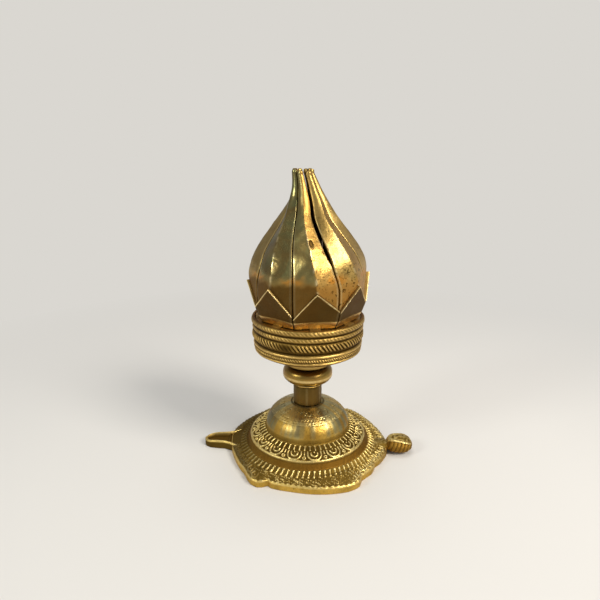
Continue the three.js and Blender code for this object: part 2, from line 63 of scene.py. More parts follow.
# Sizes shared with the CAD model
GAP = 0.3
SEAT_Z = 28.8
SEAT_R = 8.6
BORE_R = 5.3
DOME = {"foot": 15.0, "r": 22.7, "height": 14.4, "power": 2.3}
TIERS = [(23.0, 14.8), (25.3, 13.7), (30.5, 11.1), (31.2, 10.8), (31.4, 9.6), (33.4, 7.3), (35.4, 5.8)]
PLATE_TOP = 3.5
PLATE_EDGE = 0.6
REST_R = 29.5
CAVITY = [(28.5, 1.0), (28.5, 6.0), (20.3, 11.8), (19.3, 16.0), (12.5, 24.0), (BORE_R, 24.0)]
# The lobed outline, once round: angle, radius
OUTLINE = np.array([
    (0, 41.6), (6, 42.1), (12, 42.7), (18, 43.3), (24, 44.0), (30, 44.7), (35, 44.7), (39, 44.2),
    (42, 42.8), (44.5, 41.6), (50, 41.5), (55, 41.8), (60, 41.3), (63.5, 40.6), (66, 41.1), (70, 42.0),
    (76, 42.9), (82, 44.0), (87, 44.5), (94, 44.5), (100, 44.2), (108, 43.8), (118, 43.7), (126, 44.1),
    (134, 44.9), (141, 45.8), (147, 46.2), (151, 45.6), (154, 43.6), (157, 42.6), (163, 42.6),
    (170, 42.3), (178, 41.9), (186, 42.0), (194, 42.2), (201, 42.6), (204.5, 43.6), (208, 45.6),
    (211, 46.1), (215, 45.0), (220, 44.0), (228, 43.6), (238, 43.6), (248, 43.9), (256, 44.2),
    (263, 43.8), (270, 43.0), (278, 42.3), (286, 41.6), (293, 41.3), (300, 41.3), (306, 41.6),
    (311, 41.7), (315, 42.4), (319, 43.6), (324, 44.8), (329, 44.8), (332, 43.3), (334.5, 40.9),
    (338, 41.8), (345, 41.4), (352, 41.2)])
SPOUT = {"tip": 58.0, "top": 4.6, "floor": 2.2, "wall": 1.3}
SPOUT_HALF = np.array([(36.5, 10.5), (39.5, 8.6), (42.5, 6.6), (46.0, 5.4), (51.0, 5.0), (54.0, 4.6),
                       (56.2, 3.5), (57.5, 2.0), (58.0, 0.7)])
BUD_LUG = {"from": 43.4, "to": 58.0, "width": 7.0, "height": 4.1, "z": 4.25}
BUD_NECK = {"from": 36.0, "width": 5.2, "height": 2.8}

SLEEVE = {"r": 7.65, "from": SEAT_Z + GAP, "to": 40.6}
KNOP = {"r": 13.3, "z": 45.4, "half": 5.9, "lower": 2.1, "upper": 3.0}
STEP_RING = {"r": 11.8, "from": 51.4, "to": 53.6}
SPIGOT = {"r": 8.6, "to": 63.4}
STEM_BORE = 5.95

COLLAR_FLOOR = 60.0
COLLAR_RIM = 78.3
COLLAR_BORE = 27.6
COLLAR_COVE = 2.2
LEDGE = {"r": 25.2, "z": 70.1}
COLLAR_UNDERSIDE = [(SPIGOT["r"] + GAP, 53.9), (12.4, 53.9), (15.0, 54.7), (21.0, 57.1), (25.4, 59.2),
                    (26.6, 60.2)]

PETALS = 8
BUD_PHASE = 11
PITCH = 360 / PETALS
HINGE = {"r": 26.1, "z": 76.9}
EYE_R = 1.2
LUG_HALF = 2.7
TAIL = {"length": 7.6, "drop": 40, "half": 0.75, "tip": 1.15}
FOOT_Z, BAND_Z = 78.4, 81.9
FOOT_D, BAND_D = 24.3, 26.2
FACET_SLOPE = 0.329
STEP_RISE = 0.5
# Height, keel radius, seam radius, inner radius
BODY = np.array([
    (78.4, 28.0, 27.6, 21.8), (81.9, 28.3, 27.9, 23.0), (87.3, 28.9, 28.6, 24.4),
    (92.0, 29.4, 29.0, 25.5), (97.0, 29.9, 28.9, 26.4), (100.6, 30.2, 28.6, 26.5),
    (104.7, 29.7, 27.9, 26.1), (109.0, 28.5, 26.4, 24.7), (113.2, 26.3, 24.3, 22.5),
    (117.3, 23.5, 21.3, 19.6), (121.5, 20.4, 18.0, 16.3), (125.7, 17.3, 14.9, 13.1),
    (129.8, 14.2, 12.2, 10.2), (133.9, 11.6, 9.9, 7.9), (138.0, 9.4, 8.0, 6.0), (142.0, 7.7, 6.5, 4.7),
    (145.9, 6.6, 5.7, 3.9), (150.9, 5.5, 4.8, 3.1), (151.7, 5.3, 4.6, 3.1)])

# Cup, wick holder and wick in the middle of the open flower
CUP = {"inner": 8.5, "bottom": 75.32, "tube": 1.3, "wall": 1.3, "floor": 16.6, "straight": 81.4,
       "rim": 20.6, "top": 92.0, "hub": 88.3}
CUP_FLARE = [(0, 0), (0.3, 0.3), (0.7, 0.68), (1, 0.94)]
HOLDER = [(0.3, 86.2), (2.1, 86.2), (2.1, 88.9), (10, 88.9), (10, 89.68), (8.6, 90.2), (4, 90.2),
          (3, 91.2), (3, 101), (1.6, 101), (1.6, 91.9), (0.3, 91.9)]
WICK = {"r": 1.3, "from": 92.2, "to": 106.5, "strands": 3, "pitch": 4.5}

# How flat the two halves of a petal are, from 0 (round) to 1
FLATNESS = 0.6
CHEVRON_TOP = 117.3
# How far below its top a tip begins to round off, and how much each petal stays below the highest
TIP_ROUND = 1.7
TOP = 151.68
TIP_DROPS = (1.1, 1.3, 0.4, 0.0, 0.2, 0.1, 0.0, 0.5)
# Height of the leaf chevron on each petal: peak, left end, right end
CHEVRONS = [(96.5, 83.6, 87.2), (97.6, 86.4, 86.8), (99.8, 87.0, 86.6), (97.0, 86.2, 87.0),
            (96.8, 86.8, 86.2), (97.4, 86.4, 86.8), (97.2, 86.6, 86.0), (97.3, 86.8, 85.2)]
SEAM_HALF = 0.2
# The seam between the first two petals stands open above the belly, mostly on the first one's side
OPEN_SEAM = {"first": 1.15, "second": 0.35, "from": 107, "full": 113.5}
# Near the tips it closes again by this share
TIP_SEAM = {"share": 0.55, "from": 122, "full": 140}
# Towards the tips all petals bend round the axis, in degrees, and over to the left, in millimetres
TWIST = {"angle": -25.5, "from": 95, "full": 139}
LEAN = {"shift": -3.4, "from": 130, "full": 151.7}
# The petals in front are a little narrower than those at the back between these heights, wider above
UNEVEN = {"angle": 5.5, "from": 96, "full": 108, "until": 128, "gone": 140, "above": -12.0}

# Floor and surround: colour, half size in metres, and where the floor turns even for the camera
PAPER = "dad7d1"
FLOOR_HALF = 6.0
PAPER_FADE = (0.14, 0.38)
AMBIENT = (0.36, 0.36, 0.37, 1)
# Lamps: place and size in metres, watts, colour
LAMPS = {
    "key": ((0.55, -0.35, 0.62), (0.3, 0.3), 5.6, (1.0, 0.96, 0.9)),
    "fill": ((-0.55, -0.38, 0.42), (0.16, 0.22), 1.5, (0.96, 1.0, 0.97)),
    "top": ((0.0, 0.15, 0.85), (0.6, 0.4), 2.2, (1.0, 0.99, 0.97)),
}
LAMP_AIM = [0, 0, 0.08]

# Camera of the photograph, as fitted to the foot and collar
LENS = 30.0
CAMERA = {"away": 248.9, "height": 155.9, "azimuth": 3.0, "pitch": 15.74, "yaw": 0.95}

# Ornament: how many times each motif goes round
TEETH, SCALLOPS, BARS, SCROLLS = 58, 17, 82, 50
DOME_DOTS, DOME_SCROLLS = 64, 9
SCALLOP_PHASE = -10.5
SCALLOP_R, SCROLL_R = 28.0, 41.0
SPOUT_SIDE = 270
# Height of the cast ornament, depth of the engraving and notches, and unevenness of the skin
RELIEF = {"teeth": 0.6, "scallops": 0.6, "bars": 0.62, "rim": 0.5, "lip": 0.3}
ENGRAVING, NOTCHES, UNEVEN_SKIN = 0.16, 0.2, 0.07
# Columns of points once round each turned or cast piece
COLUMNS = {"foot": 1100, "bud_lug": 200, "stem": 160, "collar": 1200, "cup": 240, "holder": 120, "wick": 72}
ROPE_STROKES, FINE_STROKES, FAINT_STROKES = 88, 138, 90

# Values kept at each point of a mesh, from 0 to 1: dirt in hollows together with painted shade, worn
# brightness on edges together with painted highlights and reflections, smooth dark patina together with
# painted shade, orange heat colour together with a painted glow, and small dark specks
MARKS = ("cavity", "wear", "film", "warm", "grit")

# Tones of the aged brass; the worn and dirt tones also serve as painted highlights and painted shade
PALETTES = {
    "cast_brass": {"bright": "d6b052", "dull": "a8873a", "film": ("a6a47a", "92805a"),
                   "warm": "bd8430", "worn_and_highlight": "fbe296", "grime_and_shade": "45310c"},
    "petal_brass": {"bright": "dab568", "dull": "a48648", "film": ("7c7e54", "7c6a40"),
                    "warm": "dc9438", "worn_and_highlight": "f8e2a8", "grime_and_shade": "3a2506"},
    "collar_brass": {"bright": "ae8a3e", "dull": "7a5c26", "film": ("5c5128", "5e4526"),
                     "warm": "a87030", "worn_and_highlight": "ecc474", "grime_and_shade": "2a1a06"},
    "turned_brass": {"bright": "c69e50", "dull": "927236", "film": ("807238", "8e6a36"),
                     "warm": "b87a38", "worn_and_highlight": "f0d490", "grime_and_shade": "2a1e0e"},
}
# Roughness of each brass, and height of its grain in millimetres
BRASS_SKIN = {"cast_brass": (0.4, 0.08), "petal_brass": (0.34, 0.05), "collar_brass": (0.38, 0.04),
              "turned_brass": (0.34, 0.03)}


def smooth(low, high, x):
    t = np.clip((x - low) / (high - low), 0, 1)
    return t * t * (3 - 2 * t)


def between(x, low, high, soft=0.15):
    """1 from low to high, with soft ends."""
    return smooth(low - soft, low + soft, x) * (1 - smooth(high - soft, high + soft, x))


def most(values):
    """The largest of several values at each point."""
    return functools.reduce(np.maximum, values)


def round_stroke(distance, half):
    """Height from 0 to 1 of a stroke with a round back."""
    return np.sqrt(np.clip(1 - (distance / half) ** 2, 0, 1))


def polar(r, degrees):
    a = np.radians(degrees)
    return r * np.sin(a), -r * np.cos(a)


def spot(r, degrees, z):
    """Points at a radius, an angle and a height."""
    return np.stack([*polar(r, degrees), z], -1)


def once_round(count):
    return np.linspace(0, 360, count, endpoint=False)


def ripple(points, size, seed, terms=14):
    """Smooth seeded noise from about -1 to 1, whose bumps are about size millimetres wide."""
    rng = np.random.default_rng(seed)
    waves = rng.normal(size=(terms, 3)) * math.pi / size
    phases = rng.uniform(0, 2 * math.pi, terms)
    return np.sin(points @ waves.T + phases).sum(-1) / math.sqrt(terms) * 0.8


def rounded(profile, radius, steps=4):
    """The same outline with its inner corners rounded."""
    p = np.array(profile, float)
    out = [p[0]]
    for a, b, c in zip(p[:-2], p[1:-1], p[2:]):
        ab, bc = a - b, c - b
        reach = min(radius, np.linalg.norm(ab) * 0.45, np.linalg.norm(bc) * 0.45)
        start = b + ab / np.linalg.norm(ab) * reach
        end = b + bc / np.linalg.norm(bc) * reach
        for t in np.linspace(0, 1, steps + 1):
            out.append((1 - t) ** 2 * start + 2 * t * (1 - t) * b + t * t * end)
    out.append(p[-1])
    return np.array(out)


def resampled(profile, step):
    """Points about one step apart along an outline."""
    p = np.array(profile, float)
    along = np.concatenate(([0], np.cumsum(np.linalg.norm(np.diff(p, axis=0), axis=1))))
    at = np.linspace(0, along[-1], max(int(along[-1] / step), 1) + 1)
    return np.stack([np.interp(at, along, p[:, k]) for k in (0, 1)], -1)


def super_arc(stop_r, steps):
    """The dome's outline from stop_r down to its foot."""
    r, power = DOME["r"], DOME["power"]
    a = np.linspace(math.acos((stop_r / r) ** (power / 2)), 0, steps)
    height = DOME["foot"] + DOME["height"] * np.sin(a) ** (2 / power)
    return np.stack([r * np.cos(a) ** (2 / power), height], -1)


def outline_radius(degrees):
    """Radius of the lobed plate at an angle, just inside the straight sides of the CAD outline."""
    return np.interp(degrees, OUTLINE[:, 0], OUTLINE[:, 1], period=360) - 0.06


def grid_faces(rows, columns, wrap_rows):
    """Quads over a grid of points that closes round its columns, with the faces turned outwards."""
    i = np.arange(rows if wrap_rows else rows - 1)
    i, j = np.meshgrid(i, np.arange(columns), indexing="ij")
    up, right = (i + 1) % rows, (j + 1) % columns
    quads = np.stack([i * columns + j, i * columns + right, up * columns + right, up * columns + j], -1)
    return quads.reshape(-1, 4)


def add_object(name, data):
    obj = bpy.data.objects.new(name, data)
    bpy.context.scene.collection.objects.link(obj)
    return obj


class Shape:
    """Points, faces and marks that grow into one mesh."""

    def __init__(self):
        self.points, self.faces, self.count = [], [], 0
        self.marks = {key: [] for key in MARKS}

    def grid(self, points, wrap_rows=False, **marks):
        """A skin over rows of points; its first and last row are joined, or else each closed by a face."""
        rows, columns = points.shape[:2]
        faces = [grid_faces(rows, columns, wrap_rows)]
        if not wrap_rows:
            faces.append(np.arange(columns)[None, ::-1])
            faces.append((rows - 1) * columns + np.arange(columns)[None])
        self.points.append(points.reshape(-1, 3))
        self.faces += [f + self.count for f in faces]
        for key in MARKS:
            self.marks[key].append(np.broadcast_to(marks.get(key, 0.0), (rows, columns)).ravel())
        self.count += rows * columns
        return self

    def mesh(self, name):
        mesh = bpy.data.meshes.new(name)
        points = np.concatenate(self.points) * MM
        sizes = np.concatenate([np.full(len(f), f.shape[1]) for f in self.faces])
        corners = np.concatenate([f.ravel() for f in self.faces])
        mesh.vertices.add(len(points))
        mesh.vertices.foreach_set("co", points.astype(np.float32).ravel())
        mesh.loops.add(len(corners))
        mesh.loops.foreach_set("vertex_index", corners.astype(np.int32))
        mesh.polygons.add(len(sizes))
        mesh.polygons.foreach_set("loop_start", (np.cumsum(sizes) - sizes).astype(np.int32))
        mesh.update(calc_edges=True)
        for key, values in self.marks.items():
            attribute = mesh.attributes.new(key, "FLOAT", "POINT")
            attribute.data.foreach_set("value", np.clip(np.concatenate(values), 0, 1).astype(np.float32))
        mesh.validate()
        mesh.shade_smooth()
        return mesh

    def build(self, name, body, node, look, sharp=None):
        """Makes the piece that stands for a CAD node and rides on its body."""
        mesh = self.mesh(name)
        if sharp:
            mesh.set_sharp_from_angle(angle=math.radians(sharp))
        mesh.materials.append(look)
        obj = add_object(name, mesh)
        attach(obj, body)
        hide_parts(node)
        return obj


def turned_grid(profile, columns):
    """Rows of points of a profile turned round the axis."""
    p = np.asarray(profile, float)
    x, y = polar(p[:, :1], once_round(columns)[None])
    return np.stack([x, y, np.broadcast_to(p[:, 1:], x.shape)], -1)


class Graph:
    """A material's nodes, made by short calls: a value that is a socket is linked, any other is set."""

    def __init__(self, name):
        self.material = bpy.data.materials.new(name)
        self.material["slot"] = name
        self.material.use_nodes = True
        self.tree = self.material.node_tree
        self.shader = self.tree.nodes["Principled BSDF"]

    def feed(self, socket, value):
        if isinstance(value, bpy.types.NodeSocket):
            self.tree.links.new(value, socket)
        else:
            socket.default_value = value

    def node(self, kind, inputs=(), output=0, **settings):
        node = self.tree.nodes.new("ShaderNode" + kind)
        for key, value in settings.items():
            setattr(node, key, value)
        for key, value in dict(inputs).items():
            self.feed(node.inputs[key], value)
        return node.outputs[output]

    def place(self):
        return self.node("TexCoord", output="Object")

    def mark(self, name):
        return self.node("Attribute", output="Fac", attribute_name=name)

    def noise(self, scale, detail=4.0, roughness=0.55, distortion=0.0):
        return self.node("TexNoise", {"Vector": self.place(), "Scale": scale, "Detail": detail,
                                      "Roughness": roughness, "Distortion": distortion})

    def steps(self, value, low, high, to_low=0.0, to_high=1.0):
        return self.node("MapRange", {"Value": value, "From Min": low, "From Max": high,
                                      "To Min": to_low, "To Max": to_high})

    def maths(self, operation, a, b=0.0):
        return self.node("Math", {0: a, 1: b}, operation=operation)

    def times(self, a, b):
        return self.maths("MULTIPLY", a, b)

    def plus(self, a, b):
        return self.maths("ADD", a, b)

    def rest(self, value):
        return self.maths("SUBTRACT", 1.0, value)

    def blend(self, amount, a, b):
        return self.node("Mix", {0: amount, 6: a, 7: b}, output=2, data_type="RGBA")

    def bump(self, height, distance, under=None):
        inputs = {"Height": height, "Distance": distance * MM, "Strength": 1.0}
        if under is not None:
            inputs["Normal"] = under
        return self.node("Bump", inputs)

    def finish(self, **sockets):
        for key, value in sockets.items():
            self.feed(self.shader.inputs[key.replace("_", " ")], value)
        return self.material


def srgb(text):
    """Scene colour of a six-digit hex colour."""
    parts = [int(text[i:i + 2], 16) / 255 for i in (0, 2, 4)]
    return (*[c / 12.92 if c <= 0.04045 else ((c + 0.055) / 1.055) ** 2.4 for c in parts], 1.0)


def brass_colour(g, tones, cavity, wear, film, warm, grit):
    """Patches of two tones, then heat colour and painted glow, patina and painted shade, worn edges and
    painted highlights, and dirt and painted shade over them.
    """
    patches = g.steps(g.noise(38, 5, 0.62, distortion=0.6), 0.38, 0.64)
    tone = g.blend(patches, srgb(tones["bright"]), srgb(tones["dull"]))
    heat_and_glow = g.times(warm, g.steps(g.noise(90, 4, 0.6), 0.3, 0.55, 0.45, 1.0))
    tone = g.blend(heat_and_glow, tone, srgb(tones["warm"]))
    mottle = g.steps(g.noise(64, 4, 0.6, distortion=1.3), 0.4, 0.62)
    stain = g.blend(mottle, *[srgb(colour) for colour in tones["film"]])
    tone = g.blend(g.times(film, g.steps(g.noise(120, 5, 0.6), 0.3, 0.65, 0.7, 1.0)), tone, stain)
    # The worn tone goes on rubbed edges and on painted highlights
    rubbed_and_sheen = g.times(wear, g.steps(g.noise(420, 4, 0.6), 0.32, 0.58, 0.45, 1.0))
    tone = g.blend(rubbed_and_sheen, tone, srgb(tones["worn_and_highlight"]))
    specks = g.times(g.steps(g.noise(620, 3, 0.7), 0.58, 0.7), 0.4)
    specks = g.maths("MAXIMUM", specks, g.times(g.steps(g.noise(900, 2, 0.6), 0.56, 0.64), grit))
    spots = g.maths("MAXIMUM", specks, g.times(g.steps(g.noise(160, 6, 0.65), 0.52, 0.72), 0.3))
    # The dirt tone goes in hollows and specks and on painted shade
    open_skin = g.rest(g.maths("MAXIMUM", film, wear))
    grime_and_shade_share = g.maths("MAXIMUM", cavity, g.times(spots, open_skin))
    return g.blend(grime_and_shade_share, tone, srgb(tones["grime_and_shade"]))


def brass(name, roughness, grain):
    """Aged brass whose look follows the marks of its mesh."""
    g = Graph(name)
    marks = {key: g.mark(key) for key in MARKS}
    cavity, wear, film = [marks[key] for key in ("cavity", "wear", "film")]
    colour = brass_colour(g, PALETTES[name], **marks)
    shine = g.plus(roughness, g.times(g.noise(170, 5, 0.6), 0.14))
    shine = g.plus(shine, g.times(cavity, 0.3))
    shine = g.plus(shine, g.times(film, -0.16))
    shine = g.plus(shine, g.times(wear, -0.08))
    bare = g.rest(g.times(film, 0.85))
    skin = g.times(g.noise(1500, 3, 0.6), bare)
    normal = g.bump(skin, grain)
    normal = g.bump(g.noise(110, 3, 0.5), 0.3, normal)
    pores = g.times(g.steps(g.noise(520, 2, 0.5), 0.3, 0.42), bare)
    normal = g.bump(pores, 0.05, normal)
    shine = g.maths("MAXIMUM", shine, 0.14)
    return g.finish(Base_Color=colour, Metallic=1.0, Roughness=shine, Normal=normal)


def plain_metal(name, bright, dull, roughness):
    """Dull steel of pins, nuts and rods, with handling marks."""
    g = Graph(name)
    patches = g.steps(g.noise(160, 5, 0.65), 0.35, 0.7)
    colour = g.blend(patches, srgb(bright), srgb(dull))
    shine = g.plus(roughness, g.times(patches, 0.15))
    normal = g.bump(g.noise(1400, 3, 0.6), 0.02)
    return g.finish(Base_Color=colour, Metallic=1.0, Roughness=shine, Normal=normal)


def cotton(name):
    """Twisted cotton wick."""
    g = Graph(name)
    fluff = g.noise(1800, 4, 0.7)
    colour = g.blend(g.mark("cavity"), srgb("efe8d6"), srgb("6e6048"))
    colour = g.blend(g.steps(fluff, 0.5, 0.8, 0, 0.4), colour, srgb("c0b392"))
    colour = g.blend(g.mark("grit"), colour, srgb("241d18"))
    return g.finish(Base_Color=colour, Roughness=0.95, Normal=g.bump(fluff, 0.08))


def arc_distance(u, v, radius, opening):
    """Distance to an arc round the origin, open towards the dome by that half angle."""
    angle = np.degrees(np.arctan2(np.abs(u), -v))
    a = math.radians(opening)
    end = np.hypot(np.abs(u) - radius * math.sin(a), v + radius * math.cos(a))
    return np.where(angle >= opening, np.abs(np.hypot(u, v) - radius), end)


def bow_distance(u, v, radius, arm):
    """Distance to a U: a half ring with its bottom away from the dome, and two arms of that length."""
    arms = np.hypot(np.abs(u) - radius, np.maximum(-v - arm, 0))
    return np.where(v > 0, np.abs(np.hypot(u, v) - radius), arms)


def motif(degrees, r, count, phase=0.0):
    """Distance in millimetres along the ring from the middle of the nearest of count motifs."""
    turn = (degrees + phase) * count / 360
    return (turn - np.round(turn)) * 2 * math.pi * r / count


def teeth_relief(degrees, r):
    """Narrow ribs that stand round the dome's foot, each with a small head."""
    half = 0.42 + 0.3 * between(r, 22.9, 23.7)
    return round_stroke(motif(degrees, r, TEETH), half) * between(r, 23.1, 25.9, 0.18)


def scallop_relief(degrees, r):
    """Wide bows open towards the dome, each round a small one and a bead, with rings between them."""
    u = motif(degrees, SCALLOP_R, SCALLOPS, SCALLOP_PHASE)
    side = math.pi * SCALLOP_R / SCALLOPS - np.abs(u)
    v = (r - 27.3) * 1.1
    strokes = [
        round_stroke(bow_distance(u, v, 3.5, 1.2), 0.48),
        round_stroke(bow_distance(u, v + 0.2, 1.75, 0.3), 0.46),
        round_stroke(np.abs(u) + np.abs(v + 0.9), 0.7),
        round_stroke(np.hypot(side, v - 2.3) - 0.65, 0.34),
        round_stroke(np.hypot(side, np.maximum(np.abs(v + 0.2) - 0.8, 0)), 0.42),
    ]
    return np.max(strokes, axis=0) * between(r, 26.1, 30.5, 0.1)


def bar_relief(degrees, r):
    """Thick bars on the lower tier, almost radial."""
    u = motif(degrees + (r - 35) * 0.35, r, BARS)
    half = 0.42 + 0.25 * between(r, 33.5, 34.2) + 0.2 * between(r, 36.2, 37.0)
    return round_stroke(u, half) * between(r, 33.6, 36.9, 0.15)


def side_share(degrees):
    """1 at the left and right of the plate and 0 in front, where the rim is plain."""
    away = np.abs((degrees + 180) % 360 - 180)
    return smooth(24, 40, away)


def rim_scrolls(degrees, inset):
    """Small rings open towards the dome, each with a dot, and beads between them."""
    u = motif(degrees, SCROLL_R, SCROLLS)
    v = 3.0 - inset
    side = math.pi * SCROLL_R / SCROLLS - np.abs(u)
    scroll = round_stroke(arc_distance(u, v, 1.8, 50), 0.55)
    scroll = np.maximum(scroll, round_stroke(np.hypot(u, v), 0.65))
    bead = 0.8 * round_stroke(np.hypot(side, inset - 1.7), 0.5)
    return np.maximum(scroll, bead) * between(inset, 1.0, 5.1)


def spout_floor(degrees, r):
    """1 on the plain strip of the plate that leads to the spout."""
    across = np.abs(motif(degrees - SPOUT_SIDE, r, 1))
    return smooth(6.6, 5.4, across) * smooth(36.7, 37.2, r)


def rim_relief(degrees, r, edge):
    """Grains over the plate, the rim's lip, and scrolls along the two sides."""
    inset = edge - r
    where = spot(r, degrees, 0 * r)
    blobs = smooth(-0.35, 0.9, ripple(where, 0.85, 5, terms=24))
    wavy = inset - 1.5 - 0.5 * np.abs(np.sin(np.radians(degrees) * 21))
    sides = side_share(degrees)
    lip = round_stroke(inset - 0.75, 0.5) * (0.75 + 0.25 * np.sin(np.radians(degrees) * 97))
    scrolls = rim_scrolls(degrees, inset) * sides
    grains = 0.85 * blobs * (1 - sides * smooth(5.2, 4.6, inset)) * smooth(0.9, 1.3, inset)
    plate = most([scrolls, grains, lip, round_stroke(wavy, 0.4) * sides]) * smooth(36.9, 37.2, r)
    return plate * (1 - spout_floor(degrees, r))


def foot_relief(degrees, r, edge):
    """Raised ornament of the tiers and the plate, in millimetres."""
    shares = {"teeth": teeth_relief(degrees, r), "scallops": scallop_relief(degrees, r),
              "bars": bar_relief(degrees, r), "rim": rim_relief(degrees, r, edge)}
    return most([RELIEF[name] * share for name, share in shares.items()])


def dome_engraving(degrees, r):
    """Shallow engraving: a dotted ring between two lines, and scrolls above it."""
    dots = round_stroke(np.hypot(motif(degrees, 17.6, DOME_DOTS), (r - 17.2) * 1.3), 0.6)
    upper = round_stroke(np.hypot(motif(degrees, 18.4, DOME_DOTS, 2.8), (r - 18.5) * 1.3), 0.5)
    patchy = smooth(-0.7, 0.3, ripple(spot(r, degrees, 0 * r), 3.2, 17))
    lines = np.maximum(round_stroke((r - 16.3) * 1.4, 0.25), round_stroke((r - 19.3) * 1.4, 0.25))
    u, v = motif(degrees, 13.5, DOME_SCROLLS), (r - 13.6) * 1.05
    scroll = np.maximum(round_stroke(arc_distance(u - 1.4, v, 1.35, 40), 0.3),
                        round_stroke(arc_distance(u + 1.4, -v, 1.35, 40), 0.3))
    scroll = np.maximum(scroll, round_stroke(np.hypot(u, v), 0.45))
    return most([dots, upper, lines * 0.8, scroll * between(r, 11.0, 16.0)]) * patchy


def foot_rows(degrees):
    """Radius, height and part of each row of the foot, from the seat over the rim to the hollow."""
    crown = np.concatenate(([(BORE_R, SEAT_Z), (SEAT_R, SEAT_Z)], super_arc(SEAT_R, 60)[1:], TIERS))
    crown = resampled(rounded(crown, 0.35), 0.26)
    under = resampled(rounded([(REST_R + 3, 0.0), (REST_R, 0.0)] + CAVITY, 0.6, 3), 1.2)
    edge = outline_radius(degrees)[None]
    (start_r, start_z), t = TIERS[-1], np.linspace(0, 1, 27)[1:, None]
    bend = np.radians(np.linspace(15, 90, 4))[:, None]
    wall = np.concatenate([np.linspace(PLATE_TOP - PLATE_EDGE - 0.3, 0.25, 9), [0.06, 0.0]])[:, None]
    foot_inset = np.concatenate([np.zeros(9), [0.05, 0.25]])[:, None]
    sections = {
        "crown": (crown[:, :1], crown[:, 1:]),
        "shelf": (start_r + t * (edge - PLATE_EDGE - start_r), start_z + t * (PLATE_TOP - start_z)),
        "corner": (edge - PLATE_EDGE * (1 - np.sin(bend)), PLATE_TOP - PLATE_EDGE * (1 - np.cos(bend))),
        "wall": (edge - foot_inset, wall),
        "under": (under[:, :1], under[:, 1:]),
    }
    full = [np.broadcast_arrays(r, z, edge)[:2] for r, z in sections.values()]
    part = np.concatenate([np.full(len(r), name) for name, (r, _) in zip(sections, full)])
    return np.concatenate([r for r, _ in full]), np.concatenate([z for _, z in full]), part[:, None]


def foot_marks(degrees, r, relief, engraved, part):
    """Dirt round the raised ornament, worn tops, the streaky smooth skin of the dome, and painted light:
    shade on the left of the plate, on the tier wall and on the dome's flanks, highlights and glints on the
    upper dome.
    """
    crown, upper = part == "crown", (part == "crown") | (part == "shelf")
    ornate = np.maximum(between(r, 23.1, 30.5, 0.2), between(r, 33.3, 60, 0.2)) * upper
    top = smooth(0.2, 0.5, relief)
    seams = most([round_stroke(r - 22.8, 0.3) * 0.5, round_stroke(r - 31.6, 0.35) * 0.7,
                  round_stroke(r - 33.4, 0.3) * 0.5, round_stroke(r - 8.7, 0.6) * 0.8])
    x = polar(r, degrees)[0]
    # Dirt in the ornament's hollows; on the outer tiers it thins towards the right as painted light from
    # that side
    tier_dirt_and_shade = np.where(r < 31, 0.8, 0.74 - 0.25 * smooth(5, 35, x))
    # Painted shade on the wall below the upper tier's lip
    wall = 0.68 * between(r, 31.3, 33.3, 0.1) * crown
    # Painted shade over the left of the plate, as if the light came from the right
    shade = 0.84 * smooth(-12, -34, x) * upper * smooth(31, 33, r)
    strip = 0.5 * spout_floor(degrees, r) * upper
    lines = np.maximum(seams, 0.35 * engraved) * crown
    dome = (1 - smooth(22.2, 22.8, r)) * crown
    # Painted shade on the dome's left and right flanks, stronger on the left
    flank_shade = dome * (0.5 * smooth(-11, -20, x) + 0.4 * smooth(13, 21, x))
    cavity = most([ornate * (1 - top) * tier_dirt_and_shade, wall, shade, strip, lines, flank_shade])
    band = np.maximum(between(r, 16.2, 19.4), 0.6 * between(r, 12.0, 15.4, 0.5))
    lip = between(r, 30.5, 31.3) * crown
    where = spot(r, degrees, 0 * r)
    # Painted glints: bright flecks round the engraving of the dome
    glint_flecks = smooth(0.2, 0.6, ripple(where, 0.75, 37, terms=24)) * dome * between(r, 10.5, 19.6)
    glint_flecks = glint_flecks * smooth(-0.2, 0.4, ripple(where, 3.2, 17))
    turn = np.radians(degrees)
    streaks = ripple(np.stack([14 * np.cos(turn), 14 * np.sin(turn), 0.12 * r + 0 * turn], -1), 2.6, 31)
    return {
        "cavity": np.where(part == "under", 0.4, cavity),
        # On the dome, the bright band, the flecks and the brighter top are painted highlights
        "wear": most([ornate * top, lip * 0.8, dome * band * 0.4 * (1 - engraved), glint_flecks,
                      0.32 * dome * smooth(18.5, 15.0, r) * (1 - engraved),
                      np.where(part == "corner", 0.5, 0)]),
        # Streaky patina on the dome, thinner towards the right as painted light from that side
        "film": dome * np.clip(0.72 + 0.8 * streaks - 0.2 * band - 0.3 * smooth(-6, 16, x), 0, 1),
        "warm": np.maximum(between(r, 31.4, 33.5, 0.3) * upper * 0.8,
                           dome * np.clip(-0.6 * streaks, 0, 0.3)),
        "grit": 0.35 * upper,
    }


def foot_piece(look):
    degrees = once_round(COLUMNS["foot"])
    r, z, part = foot_rows(degrees)
    angle = np.broadcast_to(degrees[None], r.shape)
    upper = (part == "crown") | (part == "shelf")
    dr, dz = np.gradient(r, axis=0), np.gradient(z, axis=0)
    length = np.maximum(np.hypot(dr, dz), 1e-6)
    relief = foot_relief(angle, r, outline_radius(angle)) * upper
    engraved = dome_engraving(angle, r) * (part == "crown") * between(r, 9.5, 20, 0.3)
    where = spot(r, angle, z)
    lip = RELIEF["lip"] * between(r, 30.6, 31.3) * upper
    rough = UNEVEN_SKIN * ripple(where, 3.0, 3) * smooth(22, 24, r) * (z > 0.3)
    height = relief + lip - ENGRAVING * engraved + np.where(part == "wall", -np.abs(rough), rough)
    notches = ripple(where * (1, 1, 0.25), 1.0, 8)
    height = height - np.where(part == "wall", NOTCHES * np.clip(notches, 0, 1), 0) * (z > 0.1)
    x, y = polar(r - dz / length * height, angle)
    points = np.stack([x, y, z + dr / length * height], -1)
    shape = Shape().grid(points, wrap_rows=True, **foot_marks(angle, r, relief, engraved, part))
    spout(shape)
    bud_lug(shape)
    return shape.build("foot", "base", "base_casting", look)


